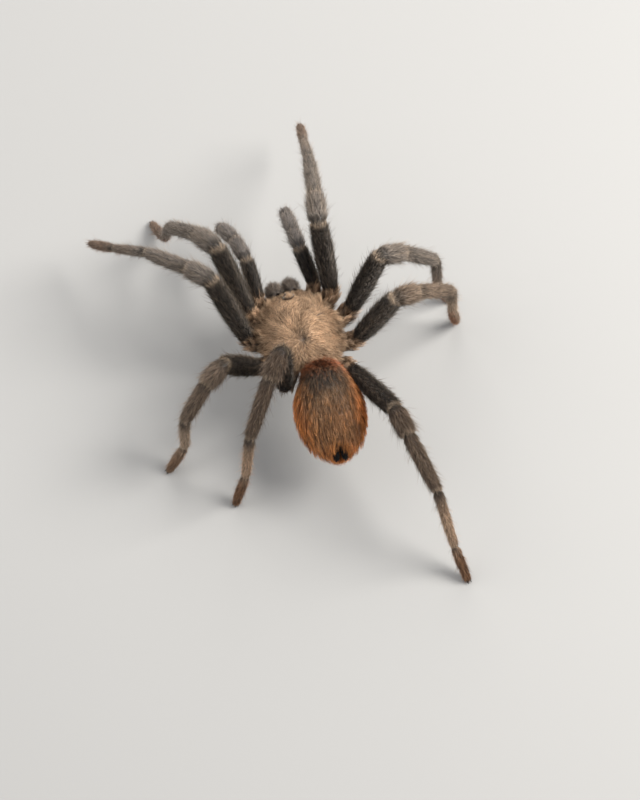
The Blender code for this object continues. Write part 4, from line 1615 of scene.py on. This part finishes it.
@dataclass
class Belly:
    """Breast plate, lip and waist.

    Attributes:
        plate: half width and half length of the breast plate.
        level: height of its middle, and half its thickness.
        spots: how far out and back its bald spots lie, in pairs.
        hairs: how many hairs the plate, the lip and the waist have.
    """

    body: Body
    dress: Wardrobe
    plate: tuple[float, float] = (2.65, 4.45)
    level: tuple[float, float] = (12.2, 2.15)
    spots: tuple[tuple[float, float], ...] = ((1.7, -2.2), (1.95, 0.2), (1.6, 2.6))
    hairs: tuple[int, int, int] = (4000, 400, 900)

    def sternum(self) -> Surface:
        """A rounded shield whose level top and bottom pass softly into its sides.

        Three pairs of bald spots lie near its edge.

        Returns:
            The skin of the plate.
        """
        slope = np.linspace(0.03, np.pi - 0.03, 44)[:, None]
        turn = 2 * np.pi * np.arange(60)[None] / 60
        spread = np.sin(slope) ** 0.4
        x, y = spread * np.cos(turn), spread * np.sin(turn)
        z = -np.sign(np.cos(slope)) * np.abs(np.cos(slope)) ** 0.45 + 0 * turn
        x, y = x * self.plate[0] * (1 - 0.18 * np.maximum(-y, 0)), y * self.plate[1]
        points = np.stack((x, y, self.level[0] + self.level[1] * z), -1)
        spots = sum(np.exp(-((np.abs(x) - out) ** 2 + (y - back) ** 2) / 0.09)
                    for out, back in self.spots)
        tint = mix(np.array(BLACK) * 1.4, BROWN, np.clip(spots, 0, 1) * 0.8)
        lie = np.array((0.0, 1.0, 0.0))
        return Surface(points, tint, lie, (1 - np.clip(spots, 0, 0.98)) * step(-z, -0.6, 0.2))

    def lip(self) -> Surface:
        """The small plate in front of the breast plate, between the feelers' hips."""
        x, y, z = polar(24, 28)
        points = np.stack((0.95 * x, 0.8 * y, 0.8 * z), -1) + place(0.0, 5.3, 11.2)
        return Surface(points, np.array(BLACK) * 1.6, np.array((0.0, 1.0, 0.0)))

    def waist(self) -> Surface:
        """The short tube between the head part and the abdomen."""
        t = np.linspace(0, 1, 14)
        path = place(0 * t, -4.2 - 4.6 * t, 12.7 + 1.0 * t)
        return tube(path, 0.95 - 0.15 * np.sin(np.pi * t), np.array((1.0, 0.0, 0.0)),
                    np.array(BLACK) * 1.4, 24)

    def build(self) -> list[Surface]:
        """The coat of the breast plate. The skins join the rest of the animal's.

        Returns:
            The skins of the plate, the lip and the waist.
        """
        parts = [self.sternum(), self.lip(), self.waist()]
        rng = np.random.default_rng(55)
        hair = [grow(part, BELLY_DOWN, count, rng) for part, count in zip(parts, self.hairs)]
        self.body.fur("coat_sternum", hair, self.dress.leg_hair, Slot.UNDERSIDE)
        return parts


ABDOMEN_DOWN = HairKind(length=1.0, width=0.085, lift=14, droop=0, stray=11, lock=0.8, clump=0.4,
                        tip=SAND, tip_share=0.15)
ABDOMEN_COAT = HairKind(length=2.2, width=0.062, lift=20, droop=10, stray=9, bends=1, lock=0.9,
                        clump=0.6, tip=SAND, tip_share=0.4, uneven=0.35)
ABDOMEN_LONG = HairKind(length=2.9, width=0.06, lift=24, droop=16, stray=10, bends=2, lock=0.9,
                        clump=0.6, tip=ORANGE, tip_share=0.6, uneven=0.4)
ABDOMEN_COLLAR = HairKind(length=1.9, width=0.06, lift=44, droop=12, stray=14, bends=1, lock=0.8,
                          clump=0.5, tip=(0.44, 0.12, 0.03), tip_share=0.7, uneven=0.4)
SPINNERET_HAIR = HairKind(length=0.95, width=0.06, lift=22, droop=0, stray=10, lock=0.4, clump=0.4,
                          tip=BLACK, tip_share=0.0)
NOTCH_RIM = HairKind(length=2.4, width=0.065, lift=36, droop=8, stray=12, bends=1, lock=0.8,
                     clump=0.5, tip=ORANGE, tip_share=0.6)


@dataclass
class Abdomen:
    """The egg-shaped abdomen, brown on top with long rust hair at its sides and rear.

    Attributes:
        half: its half width, half length and half height in the solids.
        depth: how far the skin lies inside them.
        turn: where it stands.
        front: a point of the flat behind the carapace, and how far this flat climbs forward.
        notch_at, notch_half: middle and half size of the hollow that holds the spinnerets, in
            its own axes.
        finger: root of a spinneret in those axes: out, back and up.
        finger_way: how far the spinnerets swing with the abdomen, how far they spread, and their
            slope, in degrees.
        down, coat, long: how many hairs of each kind it has.
        rim, collar: how many there are round the hollow and behind the waist.
        finger_hair: how many a spinneret has.
    """

    body: Body
    dress: Wardrobe
    half: tuple[float, float, float] = (6.2, 9.8, 5.6)
    depth: float = 0.55
    turn: Turn = Turn((0.6, -15.3, 14.8), -6.0, -14.0)
    front: tuple[float, float, float] = (-7.25, 15.7, 50.0)
    notch_at: tuple[float, float, float] = (0.0, 10.2, 1.6)
    notch_half: tuple[float, float, float] = (1.9, 2.9, 1.8)
    rows: int = 110
    columns: int = 96
    down: int = 19000
    coat: int = 5000
    long: int = 6600
    rim: int = 900
    collar: int = 1500
    finger: tuple[float, float, float] = (0.6, 8.2, 1.6)
    finger_way: tuple[float, float, float] = (6.0, 7.0, -4.0)
    finger_hair: int = 900

    def dented(self, own: Array) -> Array:
        """Points of its own axes, pushed forward out of the hollow for the spinnerets.

        Args:
            own: points in its own axes.

        Returns:
            The points, pushed in.
        """
        x, z = ((own[..., k] - self.notch_at[k]) / self.notch_half[k] for k in (0, 2))
        inside = np.clip(1 - x * x - z * z, 0, 1)
        floor = self.notch_at[1] - self.notch_half[1] * np.sqrt(inside)
        y = np.where((inside > 0) & (own[..., 1] > 0), np.minimum(own[..., 1], floor), own[..., 1])
        return np.stack((own[..., 0], y, own[..., 2]), -1)

    def surface(self) -> Surface:
        """The skin, with rows from the waist to the spinnerets.

        Returns:
            The grid in the animal's frame.
        """
        x, y, z = polar(self.rows, self.columns)
        wide, long, high = (size - self.depth for size in self.half)
        fuller = 1 + 0.10 * y * (1 - y / 2)
        upright = high * np.where(z > 0, 1, 0.9) * z * (1 + 0.03 * y)
        own = np.stack((wide * x * fuller, long * y, upright), -1)
        hollow = bump(own[..., 0], 0, 1.35) * bump(own[..., 2], 2.3, 1.9) * step(y, 0.5, 0.9)
        points = self.turn.apply(self.dented(own))
        forward, height, slope = self.front
        normal = heading(np.float64(0), np.float64(slope - 90))
        points = press(points, place(0.0, forward, height) - normal * self.depth, normal)
        u, v = grid_uv(self.rows, self.columns)
        speckle, strands = patchy(u, v, (22, 50), 41), patchy(u, v, (9, 90), 42)
        flank = step(np.abs(x) + 0.25 * np.maximum(y, 0) ** 4, 0.62, 0.98)
        front = step(-y, 0.76, 0.84)
        rear = step(y, 0.66, 0.92)
        below = step(-z, 0.25, 0.6)
        crown = mix(BROWN, SAND, np.clip(0.9 * (strands - 0.4) + 0.4 * (speckle - 0.5), 0, 1))
        crown = mix(crown, ORANGE, 0.3 * step(y, -0.5, 0.5))
        patch = np.exp(-(x / 0.62) ** 4 - ((y + 0.56) / 0.24) ** 4) * (z > 0)
        crown = mix(crown, np.array(CHARCOAL) * 0.8, 0.9 * patch)
        side = mix(ORANGE, EMBER, np.clip(0.5 + 1.5 * (strands - 0.5), 0, 1))
        tint = mix(crown, side, np.maximum(flank, rear))
        tint = mix(tint, np.array(EMBER) * 0.5, 0.9 * front)
        tint = mix(tint, CHARCOAL, 0.8 * below)
        lungs = sum(np.exp(-((np.abs(x) - 0.42) / 0.2) ** 4 - ((y - at) / 0.12) ** 4)
                    for at in (-0.42, -0.05)) * (z < 0)
        tint = mix(tint, SAND, 0.7 * np.clip(lungs, 0, 1))
        # The hollow round the spinnerets is painted near black: partly the dark skin there, partly
        # painted shade in the hollow.
        tint = mix(tint, np.array(BLACK) * 0.6, np.clip(1.2 * hollow, 0, 1))
        density = (1 - 0.9 * np.clip(lungs, 0, 1)) * (1 - 0.75 * hollow)
        length = 0.8 + 0.25 * np.maximum(flank, rear) - 0.45 * hollow
        lift = 20 * bump(y, 0.72, 0.22) + 12 * front + 12 * flank
        return Surface(points, tint, None, density, length, lift)

    def spinneret(self, side: Side) -> Surface:
        """A tapering finger of three joints that lies in the hollow.

        Args:
            side: which of the two.

        Returns:
            The skin, from its root outwards.
        """
        out, back, up = self.finger
        swing, spread, slope = self.finger_way
        start = self.turn.apply(np.array((-side.value * out, back, up)))
        aim = heading(np.float64(180 + swing - side.value * spread), np.float64(slope))
        s = np.linspace(-0.5, 2.0, 44)
        radius = (0.44 - 0.065 * s) * (1 - 0.14 * bump(s, 0.7, 0.14) - 0.14 * bump(s, 1.4, 0.14))
        radius = radius * np.sqrt(np.clip(1 - np.clip((s - 1.6) / 0.41, 0, 0.99) ** 2, 0, 1))
        grown = (step(s, 0, 0.4) + 0.01)[:, None]
        across = np.array((1.0, 0.0, 0.0))
        path = start + s[:, None] * aim
        return tube(path, radius, across, np.array(BLACK) * 0.6, 20, density=grown)

    def build(self) -> list[Surface]:
        """The coats. The skins join the rest of the animal's.

        Returns:
            The skins of the abdomen and of the spinnerets.
        """
        surface, fur = self.surface(), self.body.fur
        rng = np.random.default_rng(41)
        x, y, z = polar(self.rows, self.columns)
        above = 1 - 0.7 * step(-z, 0.2, 0.7)
        down = grow(surface, ABDOMEN_DOWN, self.down, rng)
        coat = grow(surface, ABDOMEN_COAT, self.coat, rng, above)
        fur("coat_abdomen_down", [down, coat], self.dress.rust_hair, Slot.ABDOMEN)
        edge = (0.08 + step(np.abs(x), 0.45, 0.9) + step(y, 0.6, 0.9)) * (1 - step(-y, 0.6, 0.8))
        fringe = grow(surface, ABDOMEN_LONG, self.long, rng, edge * above)
        own = np.stack((x * self.half[0], z * self.half[2]), -1) - np.array((0.0, self.notch_at[2]))
        ring = bump(np.hypot(own[..., 0], own[..., 1]), 2.1, 0.35) * step(y, 0.5, 0.8)
        rim = grow(surface, NOTCH_RIM, self.rim, rng, ring)
        collar = bump(-y, 0.82, 0.13) * step(z, -0.5, 0.2)
        front = grow(surface, ABDOMEN_COLLAR, self.collar, rng, collar)
        fur("coat_abdomen_long", [fringe, rim, front], self.dress.rust_hair, Slot.ABDOMEN)
        ends = [self.spinneret(side) for side in Side]
        for side, end in zip(Side, ends):
            hair = grow(end, SPINNERET_HAIR, self.finger_hair, rng)
            fur(f"coat_spinneret_{side.letter}", [hair], self.dress.leg_hair, Slot.SPINNERET)
        return [surface, *ends]


# ------------------------------------------------------------------ the scene


@dataclass(frozen=True)
class Studio:
    """Plain floor, soft light and the camera.

    Attributes:
        azimuth: degrees that the camera stands round, as the views count them.
        elevation: degrees over the floor.
        distance: from the point it looks at, in millimetres.
        target: lateral and backward place of that point on the floor, from the body's origin.
        lens: focal length in millimetres for a 36 mm wide picture.
        lights: name, place and size of each light in metres, and its power in watts.
        reach: half the width of the floor, in metres.
    """

    azimuth: float = 161.8
    elevation: float = 64.0
    distance: float = 650.0
    target: tuple[float, float] = (-1.74, 6.36)
    lens: float = 152.1
    lights: tuple[tuple[str, tuple[float, float, float], float, float], ...] = (
        ("key", (-0.38, 0.06, 0.42), 0.3, 4.8),
        ("fill", (0.4, -0.2, 0.35), 0.5, 1.1),
        ("rim", (-0.1, -0.5, 0.35), 0.4, 1.4),
    )
    reach: float = 1.5

    def camera(self, body: Body) -> None:
        """Stands the camera over the animal.

        Args:
            body: the animal, for its place over the frame.
        """
        a, e = math.radians(self.azimuth), math.radians(self.elevation)
        aim = np.array((self.target[0], self.target[1], 0.0)) + body.shift
        way = np.array((math.sin(a) * math.cos(e), -math.cos(a) * math.cos(e), math.sin(e)))
        data = bpy.data.cameras.new("camera")
        data.lens = self.lens
        data.clip_start = 0.01
        camera = bpy.data.objects.new("camera", data)
        camera.location = Vector((aim + way * self.distance) * MM)
        camera.rotation_euler = Vector(-way).to_track_quat("-Z", "Y").to_euler()
        bpy.context.scene.collection.objects.link(camera)
        bpy.context.scene.camera = camera

    def light(self, name: str, spot: tuple[float, float, float], size: float, power: float) -> None:
        """One square soft light that points at the middle of the animal.

        Args:
            name: the light's name.
            spot: its place in metres.
            size: side of its square.
            power: in watts.
        """
        data = bpy.data.lights.new(name, "AREA")
        data.size, data.energy = size, power
        lamp = bpy.data.objects.new(name, data)
        lamp.location = Vector(spot)
        lamp.rotation_euler = (-Vector(spot)).to_track_quat("-Z", "Y").to_euler()
        bpy.context.scene.collection.objects.link(lamp)

    def floor(self) -> None:
        """A wide plain floor."""
        mesh = bpy.data.meshes.new("floor")
        far = self.reach
        corners = [(-far, -far, 0), (far, -far, 0), (far, far, 0), (-far, far, 0)]
        mesh.from_pydata(corners, [], [(0, 1, 2, 3)])
        pale = bpy.data.materials.new("pale_floor")
        pale.use_nodes = True
        shader = pale.node_tree.nodes["Principled BSDF"]
        shader.inputs["Base Color"].default_value = (0.4, 0.385, 0.36, 1)
        shader.inputs["Roughness"].default_value = 0.85
        mesh.materials.append(pale)
        floor = bpy.data.objects.new("floor", mesh)
        bpy.context.scene.collection.objects.link(floor)

    def build(self, body: Body) -> None:
        """Camera, lights, sky and floor.

        Args:
            body: the animal, for its place over the frame.
        """
        self.camera(body)
        for light in self.lights:
            self.light(*light)
        world = bpy.data.worlds.new("sky")
        world.use_nodes = True
        sky = world.node_tree.nodes["Background"]
        sky.inputs["Color"].default_value = (0.88, 0.92, 1.0, 1)
        sky.inputs["Strength"].default_value = 0.55
        bpy.context.scene.world = world
        bpy.context.scene.view_settings.view_transform = "Standard"
        self.floor()


def flesh_nodes(frame: dict) -> tuple[str, ...]:
    """The names of the solids that the one skin stands for.


    Returns:
        Their names, sorted.
    """
    kept = ("carapace", "eye_mound", "fang")
    return tuple(sorted(name for name in frame["nodes"] if not name.startswith(kept)))


def main() -> None:
    """Builds the animal part by part over the frame."""
    logging.basicConfig(level=logging.INFO, format="%(message)s")
    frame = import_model()
    body, dress = Body(), Wardrobe()
    Studio().build(body)
    Carapace(body, dress).build()
    Eyes(body, dress).build()
    surfaces = Abdomen(body, dress).build() + Jaws(body, dress).build() + Belly(body, dress).build()
    surfaces += Limbs(body, dress).build()
    skin = body.fuse(body.skin("skin", surfaces), SKIN_CELL)
    body.finish(skin, dress.cuticle, Slot.LEG, flesh_nodes(frame))


if __name__ == "__main__":
    main()
